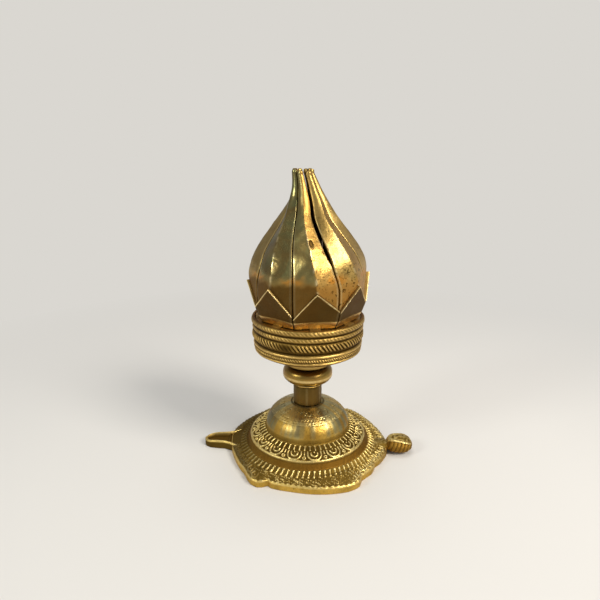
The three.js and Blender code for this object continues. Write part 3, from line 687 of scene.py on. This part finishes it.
def spout(shape):
    """Tapering trough on the left of the foot: a raised rim round a channel."""
    stations = np.concatenate([np.linspace(36.5, 56.0, 60), np.linspace(56.2, 57.98, 16)])[:, None]
    bank_shares = np.linspace(0.6, 1, 14)
    across = np.concatenate([-bank_shares[::-1], np.linspace(-0.55, 0.55, 13), bank_shares])
    rim = resampled(SPOUT_HALF, 0.1)
    x = np.repeat(stations, len(across), 1)
    y = np.interp(stations, *SPOUT_HALF.T) * across
    inset = np.hypot(x[..., None] - rim[:, 0], np.abs(y)[..., None] - rim[:, 1]).min(-1)
    top = SPOUT["top"] - 0.8 * smooth(50, 58, x) - 0.5 * (1 - smooth(0.0, 0.6, inset))
    bank = smooth(SPOUT["wall"] * 0.7, SPOUT["wall"] * 1.5, inset)
    floor = SPOUT["floor"] + 0.4 + 0.8 * round_stroke(x - 44.0, 0.7)
    beads = 0.2 * np.abs(np.sin(x * math.pi / 1.5)) * between(inset, 0.0, 0.7, 0.2)
    beads = beads * (1 - smooth(46, 50, x))
    z = top + (floor - top) * bank + beads
    skin = np.stack([-x, -y, z], -1)
    levels = np.linspace(1, 0, 6)[1:]
    near = [skin[:, -1] * (1, 1, level) for level in levels]
    far = [skin[:, 0] * (1, 1, level) for level in levels[::-1]]
    ring = np.concatenate([skin, np.stack(near, 1), np.stack(far, 1)], 1)
    sides = np.zeros((len(x), 2 * len(levels)))
    # Dirt in the channel and on the sides, deepened as painted shade on this left side of the lamp
    grime_and_shade = np.concatenate([0.82 * bank + 0.1 * round_stroke(inset - 2.0, 0.7), sides + 0.82], 1)
    wear = np.concatenate([0.55 * (1 - bank), sides], 1)
    warm = np.concatenate([0.6 * bank, sides], 1)
    shape.grid(ring[:, ::-1], cavity=grime_and_shade[:, ::-1], wear=wear[:, ::-1], warm=warm[:, ::-1], grit=0.35)


def bud_lug(shape):
    """Blunt bud that grows out of the rim: a bright ridge high on each side, slanting ribs below it."""
    x = np.linspace(BUD_NECK["from"], BUD_LUG["to"] - 0.02, 170)[:, None]
    around = np.radians(once_round(COLUMNS["bud_lug"]))[None]
    middle, half = (BUD_LUG["from"] + BUD_LUG["to"]) / 2, (BUD_LUG["to"] - BUD_LUG["from"]) / 2
    away = np.clip((x - middle) / half, -1, 1)
    belly = (1 - np.abs(away) ** np.where(away < 0, 3.4, 2.5)) ** 0.5
    on_bud = smooth(BUD_LUG["from"] - 0.6, BUD_LUG["from"] + 2.0, x)
    neck, up = 1 - on_bud, np.sin(around)
    ridge = round_stroke(up - 0.82 + 0.02 * (x - middle), 0.09) * on_bud * smooth(0.97, 0.8, away)
    upper = smooth(0.82, 0.9, up) * np.ones_like(x)
    where = np.stack(np.broadcast_arrays(x, 6 * np.cos(around), 4 * up), -1)
    mottle = smooth(-0.6, 0.7, ripple(where, 1.3, 71, terms=24))
    ribs = np.abs(np.sin(math.pi * (x - 1.6 * up) / 2.1)) ** 0.7
    lower = (1 - upper) * (1 - ridge) * on_bud
    swell = 1 + 0.1 * ridge + 0.05 * upper * (mottle - 1) * on_bud + 0.07 * lower * (ribs - 1)
    wide = ((BUD_LUG["width"] * belly) ** 4 + (BUD_NECK["width"] * neck) ** 4) ** 0.25 * swell
    tall = ((BUD_LUG["height"] * belly) ** 4 + (BUD_NECK["height"] * neck) ** 4) ** 0.25 * swell
    lift = BUD_NECK["height"] + (BUD_LUG["z"] - BUD_NECK["height"]) * on_bud
    z = np.maximum(lift + tall * up, 0.02)
    points = np.stack(np.broadcast_arrays(x, wide * np.cos(around), z), -1)
    grime_and_shade = most([lower * (0.82 - 0.4 * ribs), 0.6 * upper * (1 - mottle), 0.45 * neck + 0 * up])
    shape.grid(points, cavity=grime_and_shade * (1 - ridge), warm=0.7 * lower,
               wear=np.maximum(ridge, 0.5 * mottle * upper), grit=0.4)


def stem_piece(look):
    z = np.linspace(SLEEVE["to"], STEP_RING["from"], 70)
    t = np.minimum(np.abs((z - KNOP["z"]) / KNOP["half"]), 0.999)
    power = np.where(z < KNOP["z"], KNOP["lower"], KNOP["upper"])
    r = KNOP["r"] * (1 - t ** power) ** (1 / power)
    ball = np.stack([np.maximum(r, np.where(z < KNOP["z"], SLEEVE["r"], SPIGOT["r"])), z], -1)
    ball = ball[(z > 41.0) & (z < STEP_RING["from"] - 0.6)]
    sleeve = rounded([(STEM_BORE, SLEEVE["from"]), (SLEEVE["r"], SLEEVE["from"]), (SLEEVE["r"], 39.4),
                      (8.3, 39.9), (8.5, 40.5), (8.2, 41.0)], 0.4)
    top = rounded([(9.6, STEP_RING["from"] - 0.6), (STEP_RING["r"], STEP_RING["from"]),
                   (STEP_RING["r"], STEP_RING["to"]), (SPIGOT["r"], STEP_RING["to"]),
                   (SPIGOT["r"], SPIGOT["to"]), (STEM_BORE, SPIGOT["to"])], 0.45)
    points = turned_grid(np.concatenate([sleeve, ball, top]), COLUMNS["stem"])
    z = points[..., 2]
    grooves = [(39.2, 0.45), (41.1, 0.5), (STEP_RING["from"] - 0.4, 0.7), (SLEEVE["from"], 0.6)]
    grime_and_shade = np.max([0.75 * round_stroke(z - height, half) for height, half in grooves], axis=0)
    edges = [(40.2, 0.5), (STEP_RING["to"], 0.5), (KNOP["z"], 0.8)]
    wear = np.max([0.7 * round_stroke(z - height, half) for height, half in edges], axis=0)
    turn = np.radians(once_round(COLUMNS["stem"]))[None]
    # Painted reflections on the sleeve: vertical light and dark bands, as of lamps
    streaks = ripple(np.stack([9 * np.cos(turn), 9 * np.sin(turn), 0 * turn], -1), 2.4, 33) * (z < 40)
    shape = Shape().grid(points, wrap_rows=True, cavity=np.maximum(grime_and_shade, -0.3 * streaks),
                         wear=np.maximum(wear, 0.5 * streaks), film=0.55 * (1 - wear))
    return shape.build("stem_turned", "head", "stem", look, sharp=50)


# Bead rows of the collar: height, half height, radius, kind of strokes
COLLAR_BEADS = [(61.1, 0.7, 28.0, None), (62.9, 0.95, 28.0, "fine"), (64.8, 0.95, 28.5, None),
                (69.0, 2.4, 28.9, "rope"), (73.3, 1.2, 28.8, "faint"), (76.7, 1.5, 29.3, "faint")]
# A worn patch without strokes on the rope band: middle and half width in degrees
ROPE_WORN = {"at": 341, "half": 8}
# Count, depth, half width and slant of each kind of strokes
STROKES = {"rope": (ROPE_STROKES, 0.5, 0.62, 1.5), "fine": (FINE_STROKES, 0.3, 0.5, 1.6),
           "faint": (FAINT_STROKES, 0.14, 0.6, 2.2)}
COLLAR_VALLEY = np.array([(60, 27.2), (67, 27.4), (70.5, 28.1), (79, 28.5)])


def collar_skin(degrees, z):
    """Radius of the collar's outside, depth of its grooves with painted shade on the lower half of each
    bead, and height of its strokes.
    """
    valley = np.interp(z, *COLLAR_VALLEY.T)
    bulge, groove_and_shade = np.zeros_like(z), np.ones_like(z)
    strokes, between_strokes = 0 * z * degrees, 0 * z * degrees
    for height, half, radius, kind in COLLAR_BEADS:
        bead = round_stroke(z - height, half)
        bulge = np.maximum(bulge, bead * (radius - valley) * (0.75 if kind == "rope" else 1))
        # Painted shade: the lower half of each bead is darkened, as if lit from above
        underside_shade = 0.75 * smooth(0.1, -0.8, (z - height) / half)
        groove_and_shade = np.minimum(groove_and_shade, np.maximum(1 - bead, underside_shade))
        if kind:
            count, depth, width, slant = STROKES[kind]
            turn = np.radians(degrees)
            wander = 0.35 * np.sin(turn * 13) + 0.25 * np.sin(turn * 29 + 1)
            stroke = round_stroke(motif(degrees + wander + (z - height) * slant, 28.8, count), width)
            if kind == "rope":
                away = (degrees - ROPE_WORN["at"]) / ROPE_WORN["half"]
                stroke = stroke * smooth(-1.7, -0.9, z - height) * (1 - 0.85 * np.exp(-away ** 2))
            strokes = strokes + depth * stroke * bead
            between_strokes = between_strokes + (1 - stroke) * bead * min(depth * 2.2, 0.9)
    return valley + bulge + strokes, groove_and_shade, between_strokes


def collar_piece(look):
    degrees = once_round(COLUMNS["collar"])
    z = np.arange(60.25, 78.3, 0.19)[:, None]
    r, groove_and_shade, hollow = collar_skin(degrees, z)
    z = np.broadcast_to(z, r.shape)
    r = r + UNEVEN_SKIN * ripple(spot(r, degrees, z), 5.0, 11)
    outer = spot(r, degrees, z)
    rim = rounded([(28.6, COLLAR_RIM), (COLLAR_BORE, COLLAR_RIM), (COLLAR_BORE, LEDGE["z"]),
                   (LEDGE["r"], LEDGE["z"]), (LEDGE["r"], COLLAR_FLOOR + COLLAR_COVE),
                   (LEDGE["r"] - COLLAR_COVE, COLLAR_FLOOR), (SPIGOT["r"] + GAP, COLLAR_FLOOR)], 0.3)
    below = resampled(rounded(COLLAR_UNDERSIDE, 0.6), 0.9)
    inside, under = turned_grid(rim, len(degrees)), turned_grid(below, len(degrees))
    points = np.concatenate([under, outer, inside])
    face = np.concatenate([np.zeros(under.shape[:2]), np.ones(r.shape), np.zeros(inside.shape[:2])])
    # Dirt in the grooves and between strokes, with painted shade under each bead; the bright wear goes
    # where neither is, partly a painted highlight on the bead tops
    grime_and_shade = np.maximum(groove_and_shade ** 1.5 * 0.85 + 0 * r, hollow)
    grime_and_shade = np.concatenate([np.full(under.shape[:2], 0.35), grime_and_shade, np.full(inside.shape[:2], 0.25)])
    shape = Shape().grid(points, wrap_rows=True, cavity=grime_and_shade, wear=0.9 * face * (1 - grime_and_shade) ** 3,
                         warm=0.5 * (1 - face), grit=0.3 * face)
    return shape.build("collar_beaded", "head", "collar_cup", look)


def fair(table, z, column):
    """Smooth reading of a table column over height."""
    shifts = np.arange(-6, 6.01, 0.5)
    weights = np.exp(-(shifts / 1.8) ** 2)
    heights, values = table[:, 0], table[:, column]
    low = (values[1] - values[0]) / (heights[1] - heights[0])
    high = (values[-2] - values[-3]) / (heights[-2] - heights[-3])
    total = 0
    for shift, weight in zip(shifts, weights / weights.sum()):
        at = z + shift
        value = np.interp(at, heights, values)
        value = np.where(at < heights[0], values[0] + (at - heights[0]) * low, value)
        value = np.where(at > heights[-2], values[-2] + (at - heights[-2]) * high, value)
        total = total + weight * value
    return total


def petal_rows(peak, left, right, stop):
    """Rows up the petal: height at the keel and both seams, and how far it is off the leaf (0 to 1)."""
    rows = [(z, z, z, 0.0) for z in np.linspace(FOOT_Z, BAND_Z, 6)]
    for t in np.linspace(0, 1, 24)[1:]:
        rows.append((*[BAND_Z + t * (end - BAND_Z) for end in (peak, left, right)], 0.0))
    for t in np.linspace(0, 1, 9)[1:]:
        rise = STEP_RISE * t ** 0.6
        rows.append((peak + rise, left + rise, right + rise, 1 - math.cos(t * math.pi / 2)))
    start = peak + STEP_RISE
    heights = np.concatenate([np.linspace(start, CHEVRON_TOP, 60)[1:],
                              np.linspace(CHEVRON_TOP, stop, 100)[1:]])
    for z in heights:
        fade = np.clip((CHEVRON_TOP - z) / (CHEVRON_TOP - start), 0, 1) ** 1.5
        rows.append((z, z - fade * (peak - left), z - fade * (peak - right), 1.0))
    return np.array(rows).T[..., None]


def bend(law, key, z):
    """A shift that grows with the square of the height."""
    return law[key] * np.clip((z - law["from"]) / (law["full"] - law["from"]), 0, 1) ** 2


def seam_angle(index, side, z):
    """Direction of the seam before or after a petal."""
    even = BUD_PHASE + (index + side / 2) * PITCH
    rise = smooth(UNEVEN["from"], UNEVEN["full"], z)
    fall = 1 - smooth(UNEVEN["until"], UNEVEN["gone"], z)
    uneven = UNEVEN["angle"] * rise * fall + UNEVEN["above"] * (1 - fall)
    return even + bend(TWIST, "angle", z) - uneven * math.sin(math.radians(even))


def edge_angle(index, side, r, z):
    """Edge of a petal, kept clear of the seam by the same width at every radius."""
    opening = {(0, 1): "first", (1, -1): "second"}.get((index, side))
    open_share = smooth(OPEN_SEAM["from"], OPEN_SEAM["full"], z)
    open_share = open_share * (1 - TIP_SEAM["share"] * smooth(TIP_SEAM["from"], TIP_SEAM["full"], z))
    extra = OPEN_SEAM[opening] * open_share if opening else 0
    clearance = np.degrees(np.arcsin(np.minimum((SEAM_HALF + extra) / r, 0.9)))
    return seam_angle(index, side, z) - side * clearance


# Casting pits by petal: share across, height, size and depth
PITS = {0: [(0.22, 118.4, 1.8, 1.0), (0.93, 114.6, 0.9, 0.5), (0.55, 100.2, 0.35, 0.2),
            (0.4, 97.8, 0.3, 0.2), (0.62, 94.6, 0.35, 0.2)],
        1: [(-0.5, 92.5, 0.5, 0.3), (-0.62, 90.6, 0.4, 0.3), (-0.38, 94.2, 0.45, 0.3),
            (-0.3, 96.1, 0.4, 0.25), (-0.2, 106.0, 0.3, 0.2), (0.3, 101.0, 0.35, 0.2)]}
# Share of dark patina on the right half of each petal; the left halves are darker, as painted shade of
# light from the right
RIGHT_PATINA_AND_SHADE = (0.0, 0.05, 0.1, 0.4, 0.35, 0.4, 0.5, 1.0)
LEFT_PATINA_AND_SHADE = (0.8, 0.1, 0.1, 0.7, 0.7, 0.7, 0.8, 1.0)
# Share of warm gold on the right half of each petal: a painted highlight of light from the right
RIGHT_LIT_GOLD = (0.25, 0.2, 0.3, 0.1, 0.1, 0.1, 0.1, 0.0)
# Painted shade on the left and right half of each petal below its belly, a dark surface seen in reflection,
# and where that begins
LOW_SHADE = ((0.72, 0.3), (0.25, 0.15), (0.3, 0.35), (0.5, 0.5), (0.5, 0.5), (0.5, 0.5),
             (0.7, 0.7), (0.75, 0.8))
LOW_Z = 102.0
# Share of small dark specks on the left and right half of each petal
GRIT = ((0.1, 0.75), (0.9, 0.8), (0.6, 0.5), (0.3, 0.3), (0.3, 0.3), (0.3, 0.3),
        (0.2, 0.2), (0.1, 0.1))
# Half the width of a petal at its belly
HALF_WIDTH = 10.5


class Petal:
    """One petal's face as a grid: rows go up the petal, and u goes across it from -1 to 1."""

    def __init__(self, index):
        self.index = index
        self.peak, self.left, self.right = CHEVRONS[index]
        self.top = TOP - TIP_DROPS[index]
        rows = petal_rows(*CHEVRONS[index], self.top - TIP_ROUND)
        keel, left, right, self.off = rows
        side = np.concatenate([np.linspace(0, 0.1, 6)[:-1], np.linspace(0.1, 0.9, 20)[:-1],
                               np.linspace(0.9, 1, 7)])
        self.u = np.concatenate([-side[::-1], side[1:]])[None]
        self.z = keel + np.abs(self.u) * (np.where(self.u < 0, left, right) - keel)
        ends = np.where(self.u < 0, self.left, self.right)
        self.above = self.z - (self.peak + np.abs(self.u) * (ends - self.peak))

    def place(self, r, u, z):
        """Points at a radius, a share across and a height, bent and leaning with the bud."""
        middle = (seam_angle(self.index, -1, z) + seam_angle(self.index, 1, z)) / 2
        edge = np.where(u < 0, edge_angle(self.index, -1, r, z), edge_angle(self.index, 1, r, z))
        x, y = polar(r, middle + np.abs(u) * (edge - middle))
        return np.stack([x + bend(LEAN, "shift", z), y, z], -1)

    def leaf_radius(self):
        """The flat leaf at the petal's foot."""
        band = FOOT_D + (self.z - FOOT_Z) / (BAND_Z - FOOT_Z) * (BAND_D - FOOT_D)
        flat = np.where(self.z < BAND_Z, band, BAND_D + (self.z - BAND_Z) * FACET_SLOPE)
        return flat / np.cos(np.radians(self.u * PITCH / 2))

    def body_radius(self):
        """Two almost flat halves that meet in a soft keel."""
        keel, seam = fair(BODY, self.z, 1), fair(BODY, self.z, 2)
        half = math.radians(PITCH / 2)
        share = np.hypot(self.u, 0.035) - 0.035
        turn = share * half
        flat = keel * seam * math.sin(half) / (keel * np.sin(turn) + seam * np.sin(half - turn))
        arched = keel + (seam - keel) * share ** 1.15
        return FLATNESS * flat + (1 - FLATNESS) * arched

    def pits(self):
        depth = 0 * self.z
        for u, z, size, deep in PITS.get(self.index, []):
            away = np.hypot((self.u - u) * HALF_WIDTH, self.z - z)
            depth = depth + deep * smooth(1.15, 0.45, away / size)
        return depth

    def face(self):
        r = self.leaf_radius() * (1 - self.off) + self.body_radius() * self.off
        edge = np.clip((np.abs(self.u) - 0.9) / 0.1, 0, 1)
        r = r - 0.4 * (1 - np.sqrt(1 - edge ** 2 * 0.98))
        finger = 1.0 * smooth(118, 138, self.z)
        r = r - finger * (1 - np.sqrt(1 - 0.93 * self.u ** 2) + 0.2 * np.exp(-(self.u / 0.25) ** 2))
        where = self.place(r, self.u, self.z)
        beaten = 0.1 * ripple(where, 8.0, 20 + self.index) * (1 - smooth(130, 145, self.z))
        filed = 0.035 * ripple(where, 2.2, 40 + self.index) * smooth(-0.1, 0.1, self.u)
        filed = filed * smooth(140, 128, self.z)
        return self.place(r + (beaten + filed) * (self.off > 0.99) - self.pits(), self.u, self.z)

    def marks(self):
        """Dirt over the leaf and in the pits, worn edges and keel, patina, heat colour and specks, and
        painted light: shade on the left halves and below the belly, an orange glow at its edge, gold on the
        right halves and a highlight on the ledge.
        """
        body = self.off > 0.99
        over = np.clip(self.above - STEP_RISE, 0, None)
        corner = 0.7 * np.exp(-over / 0.4) * body
        seam = 0.85 * smooth(0.965, 1.0, np.abs(self.u))
        # Painted highlight on the chevron's ledge, given as bright wear
        ledge_highlight = between(self.above, -0.5, 0.3, 0.12)
        step = between(self.above, 0.3, 0.6, 0.12)
        flat = np.stack(np.broadcast_arrays(self.u * 10, 0 * self.z, self.z), -1)
        ragged = ripple(flat, 3.0, 60 + self.index)
        keel = 0.9 * np.exp(-((self.u - 0.02) * HALF_WIDTH / 0.6) ** 2) * smooth(-0.5, 0.6, ragged) * body
        keel = keel * smooth(132, 118, self.z)
        rub = 0.45 * between(np.abs(self.u), 0.9, 0.95, 0.02) * smooth(138, 122, self.z)
        # Patina share of each half; the darker left halves are painted shade
        left, right = LEFT_PATINA_AND_SHADE[self.index], RIGHT_PATINA_AND_SHADE[self.index]
        on_right = smooth(-0.06, 0.06, self.u)
        shaded_halves = left + (right - left) * on_right
        # Painted highlight: warm gold on the right half
        lit_gold = RIGHT_LIT_GOLD[self.index] * on_right
        leaf = (self.z > BAND_Z + 0.1) * smooth(-0.3, -0.6, self.above)
        # Below the belly: painted shade, as of a dark surface reflected from below
        height = self.z + 0.9 * ragged - LOW_Z
        low = smooth(1.5, -3.5, height) * body
        # Painted orange glow along the upper edge of that painted shade
        heat_and_glow = 0.95 * np.exp(-(height / 2.0) ** 2) * smooth(0.25, 0.75, np.abs(self.u)) * body
        shade = low * np.where(self.u < 0, *LOW_SHADE[self.index])
        grit = np.where(self.u < 0, *GRIT[self.index]) * body * (1.1 - 0.7 * smooth(95, 125, self.z))
        pits = np.clip(1.2 * self.pits(), 0, 0.72)
        film = np.maximum(0.45 * leaf, shaded_halves * body * (1 - 0.75 * low))
        band = self.z < BAND_Z
        return {
            "cavity": most([corner, seam + 0 * self.z, pits, 0.84 * leaf, 0.5 * step, shade]),
            "wear": most([ledge_highlight * (0.6 + 0.3 * ragged), keel, rub, 0.7 * band]),
            "film": film * (1 - ledge_highlight) * (1 - 0.8 * heat_and_glow),
            "warm": most([heat_and_glow, 0.9 * band, 0.6 * leaf, lit_gold * body, 0.5 * low]),
            "grit": grit,
        }

    def add_to(self, shape):
        """The blade: its face, its inside and a rounded tip."""
        r, z = fair(BODY, self.z, 3)[:, ::-6], self.z[:, ::-6]
        inner = self.place(r, self.u[:, ::-6], z)
        clouds = ripple(inner, 9.0, 80 + self.index)
        inner = self.place(r + 0.12 * ripple(inner, 5.0, 90) * (z > 88), self.u[:, ::-6], z)
        rings = np.concatenate([self.face(), inner], 1)
        tip = tip_rows(rings[-1], self.top)
        marks = {}
        insides = {"cavity": 0.15 + 0.55 * smooth(90, 80, z), "wear": 0.0, "film": 0.5 + 0.2 * clouds,
                   "warm": 0.2 - 0.15 * clouds, "grit": 0.3}
        for key, values in self.marks().items():
            blade = np.concatenate([values, np.broadcast_to(insides[key], inner.shape[:2])], 1)
            marks[key] = np.concatenate([blade, np.broadcast_to(blade[-1:], tip.shape[:2])])
        shape.grid(np.concatenate([rings, tip]), **marks)


def tip_rows(ring, top):
    """Rows that round a blade's tip off like a fingertip."""
    middle = ring.mean(0)
    rows = []
    for t in np.radians(np.linspace(8, 86, 9)):
        row = middle + (ring - middle) * (0.3 + 0.7 * math.cos(t) ** 0.55)
        row[:, 2] = ring[:, 2] + math.sin(t) * (top - ring[0, 2])
        rows.append(row)
    return np.array(rows)


def arc_points(centre, radius, start, stop, steps):
    a = np.radians(np.linspace(start, stop, steps))
    return [(centre[0] + radius * math.cos(t), centre[1] + radius * math.sin(t)) for t in a]


def lug_outline():
    """Side view of the hinge lug as distance from the axis and height: eye, web and tail."""
    drop = math.radians(TAIL["drop"])
    tip = (HINGE["r"] - TAIL["length"] * math.cos(drop), HINGE["z"] - TAIL["length"] * math.sin(drop))
    web, back = FOOT_D - 2.0, HINGE["r"] - 1.5

    def side(r, sign):
        return tip[1] + (r - tip[0]) * math.tan(drop) + sign * TAIL["half"] / math.cos(drop)

    eye = arc_points((HINGE["r"], HINGE["z"]), EYE_R, 90, -50 - (90 - TAIL["drop"]) / 2, 14)
    end = arc_points(tip, TAIL["tip"], TAIL["drop"] - 45, TAIL["drop"] - 315, 20)
    neck = [(FOOT_D - 0.2, FOOT_Z + 1), (FOOT_D - 0.1, FOOT_Z), (FOOT_D + 0.6, FOOT_Z - GAP)]
    return [(web, FOOT_Z + 1), *neck, *eye, (back, side(back, -1)), *end, (web, side(web, 1))]


def petal_lug(shape, index):
    outline = np.array(lug_outline())
    middle = outline.mean(0)
    a = math.radians(BUD_PHASE + index * PITCH)
    along = np.array([math.sin(a), -math.cos(a)])
    across = np.array([math.cos(a), math.sin(a)])
    straight = LUG_HALF - 0.15
    rows = []
    for inset, offset in ((0.015, -LUG_HALF), (0, -straight), (0, straight), (0.015, LUG_HALF)):
        ring = outline + (middle - outline) * inset
        rows.append(np.concatenate([ring[:, :1] * along + offset * across, ring[:, 1:]], 1))
    shape.grid(np.array(rows), cavity=0.3)


def petal_pieces(look):
    for index in range(PETALS):
        shape = Shape()
        Petal(index).add_to(shape)
        petal_lug(shape, index)
        number = index + 1
        shape.build(f"petal_{number}_blade", f"petal_body_{number}", f"petal_{number}", look, sharp=55)


def cup_outline():
    bottom, wall, floor, inner = CUP["bottom"], CUP["wall"], CUP["floor"], CUP["inner"]
    rise, spread = CUP["top"] - CUP["straight"], CUP["rim"] - floor
    outside = [(floor + out * spread, CUP["straight"] + up * rise) for out, up in CUP_FLARE]
    inside = [(r - wall, z + wall * 0.15) for r, z in reversed(outside)]
    foot = [(inner, bottom), (floor - 1, bottom), (floor, bottom + 1)]
    well = [(floor - wall, bottom + wall * 1.5), (floor - wall * 1.5, bottom + wall),
            (inner + CUP["tube"], bottom + wall), (inner + CUP["tube"], CUP["hub"]), (inner, CUP["hub"])]
    return foot + outside + [(CUP["rim"] - wall * 0.5, CUP["top"])] + inside + well


def oil_cup_piece(look):
    """Turned cup: oil has darkened it inside, above all near its floor."""
    profile = resampled(rounded(cup_outline(), 0.9, 6), 0.3)
    points = turned_grid(profile, COLUMNS["cup"])
    z = points[..., 2]
    rim_row = int(profile[:, 1].argmax())
    inside = (np.arange(len(profile)) > rim_row)[:, None] * np.ones_like(z)
    clouds = ripple(points, 6.0, 101)
    runs = ripple(points * (1, 1, 0.15), 2.5, 103)
    grime_and_shade = inside * np.clip(0.75 * smooth(86, 78, z) + 0.3 * np.clip(runs, 0, 1), 0, 0.85)
    film = np.clip(0.4 + 0.35 * clouds, 0, 1) * (1 - inside)
    shape = Shape().grid(points, wrap_rows=True, cavity=grime_and_shade, wear=0.8 * smooth(91.2, 91.9, z),
                         film=film, warm=0.5 * inside, grit=0.4)
    return shape.build("oil_cup_turned", "lifter", "oil_cup", look, sharp=50)


def wick_holder_piece(look):
    """Flange and tube, sooty at the top where the wick burns."""
    profile = resampled(rounded(HOLDER, 0.35, 5), 0.25)
    points = turned_grid(profile, COLUMNS["holder"])
    r, z = np.hypot(points[..., 0], points[..., 1]), points[..., 2]
    soot = 0.85 * smooth(96.5, 100.5, z + 0.8 * ripple(points, 1.5, 107))
    soot = np.maximum(soot, 0.6 * round_stroke(z - 90.9, 0.8) * (r < 4.5))
    film = np.clip(0.4 + 0.4 * ripple(points, 4.0, 109), 0, 1)
    shape = Shape().grid(points, cavity=soot, wear=0.7 * between(r, 8.6, 9.9, 0.4), film=film, grit=0.4)
    return shape.build("wick_holder_turned", "lifter", "wick_holder", look, sharp=50)


def wick_piece(look):
    """Cord of twisted strands with a charred, rounded end."""
    z = np.linspace(WICK["from"], WICK["to"], 120)[:, None]
    around = np.radians(once_round(COLUMNS["wick"]))[None]
    lead = WICK["pitch"] * WICK["strands"]
    turn = WICK["strands"] * (around + 2 * math.pi * (z - WICK["from"]) / lead)
    groove = np.abs(np.sin(turn / 2)) ** 0.7
    end = np.sqrt(np.clip((WICK["to"] - z) / 2.2, 0, 1))
    r = WICK["r"] * (0.8 + 0.2 * groove) * np.minimum(0.1 + end, 1)
    points = np.stack(np.broadcast_arrays(r * np.sin(around), -r * np.cos(around), z), -1)
    char = smooth(WICK["to"] - 2.2, WICK["to"] - 0.6, z)
    shape = Shape().grid(points, cavity=0.8 * (1 - groove), grit=char)
    return shape.build("wick_cord", "lifter", "wick", look)


def paper():
    """Pale floor that keeps the shadow near the object and turns to the even pale surround far away."""
    g = Graph("floor_paper")
    pale = srgb(PAPER)
    g.finish(Base_Color=pale, Roughness=0.85)
    rays = [g.node("LightPath", output=f"Is {ray} Ray") for ray in ("Camera", "Glossy")]
    seen = g.maths("MAXIMUM", *rays)
    place = g.node("NewGeometry", output="Position")
    away = g.node("VectorMath", {0: place}, output="Value", operation="LENGTH")
    far = g.times(seen, g.steps(away, *PAPER_FADE))
    glow = g.node("Emission", {"Color": pale, "Strength": 1.0})
    mixed = g.node("MixShader", {0: far, 1: g.shader.outputs[0], 2: glow})
    g.tree.links.new(mixed, g.tree.nodes["Material Output"].inputs["Surface"])
    return g.material


def stage():
    floor = bpy.data.meshes.new("floor")
    corners = [(x * FLOOR_HALF, y * FLOOR_HALF, 0.0) for x, y in ((-1, -1), (1, -1), (1, 1), (-1, 1))]
    floor.from_pydata(corners, [], [(0, 1, 2, 3)])
    floor.materials.append(paper())
    obj = add_object("floor", floor)


def lamp(name, location, size, power, colour):
    light = bpy.data.lights.new(name, "AREA")
    light.shape = "RECTANGLE"
    light.size, light.size_y = size
    light.energy = power
    light.color = colour
    obj = add_object(name, light)
    obj.location = location
    aim = np.array(LAMP_AIM) - np.array(location)
    flat = math.hypot(aim[0], aim[1])
    obj.rotation_euler = Euler((math.atan2(flat, -aim[2]), 0, math.atan2(-aim[0], aim[1])))


def surround():
    """Soft grey light from all round; the camera sees the colour of the paper instead."""
    world = bpy.data.worlds.new("studio")
    world.use_nodes = True
    nodes, links = world.node_tree.nodes, world.node_tree.links
    soft, seen = nodes["Background"], nodes.new("ShaderNodeBackground")
    choice = nodes.new("ShaderNodeMixShader")
    soft.inputs["Color"].default_value = AMBIENT
    seen.inputs["Color"].default_value = srgb(PAPER)
    links.new(nodes.new("ShaderNodeLightPath").outputs["Is Camera Ray"], choice.inputs[0])
    links.new(soft.outputs[0], choice.inputs[1])
    links.new(seen.outputs[0], choice.inputs[2])
    links.new(choice.outputs[0], nodes["World Output"].inputs["Surface"])
    bpy.context.scene.world = world


def lights():
    surround()
    for name, settings in LAMPS.items():
        lamp(name, *settings)


def camera():
    data = bpy.data.cameras.new("camera")
    data.lens = LENS
    data.sensor_width = 36.0
    data.clip_start, data.clip_end = 0.01, 20
    obj = add_object("camera", data)
    x, y = polar(CAMERA["away"] * MM, CAMERA["azimuth"])
    obj.location = (x, y, CAMERA["height"] * MM)
    obj.rotation_euler = Euler((math.radians(90 - CAMERA["pitch"]), 0,
                                math.radians(CAMERA["azimuth"] + CAMERA["yaw"])))
    bpy.context.scene.camera = obj


def dress_nodes(frame, looks):
    """Gives the CAD nodes that stay in view the material of their slot."""
    for row in frame["record"]["subparts"]:
        mesh = frame["nodes"][row["node"]].data
        mesh.materials.clear()
        mesh.materials.append(looks[row["material_slot"]])


def main():
    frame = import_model()
    looks = {name: brass(name, *skin) for name, skin in BRASS_SKIN.items()}
    looks["steel"] = plain_metal("steel", "8f8f8b", "5c5a55", 0.38)
    looks["cotton"] = cotton("cotton")
    dress_nodes(frame, looks)
    foot_piece(looks["cast_brass"])
    stem_piece(looks["turned_brass"])
    collar_piece(looks["collar_brass"])
    petal_pieces(looks["petal_brass"])
    oil_cup_piece(looks["turned_brass"])
    wick_holder_piece(looks["turned_brass"])
    wick_piece(looks["cotton"])
    stage()
    lights()
    camera()
    bpy.context.scene.view_settings.view_transform = "Standard"


bpy.ops.object.select_all(action="SELECT")
bpy.ops.object.delete()
main()
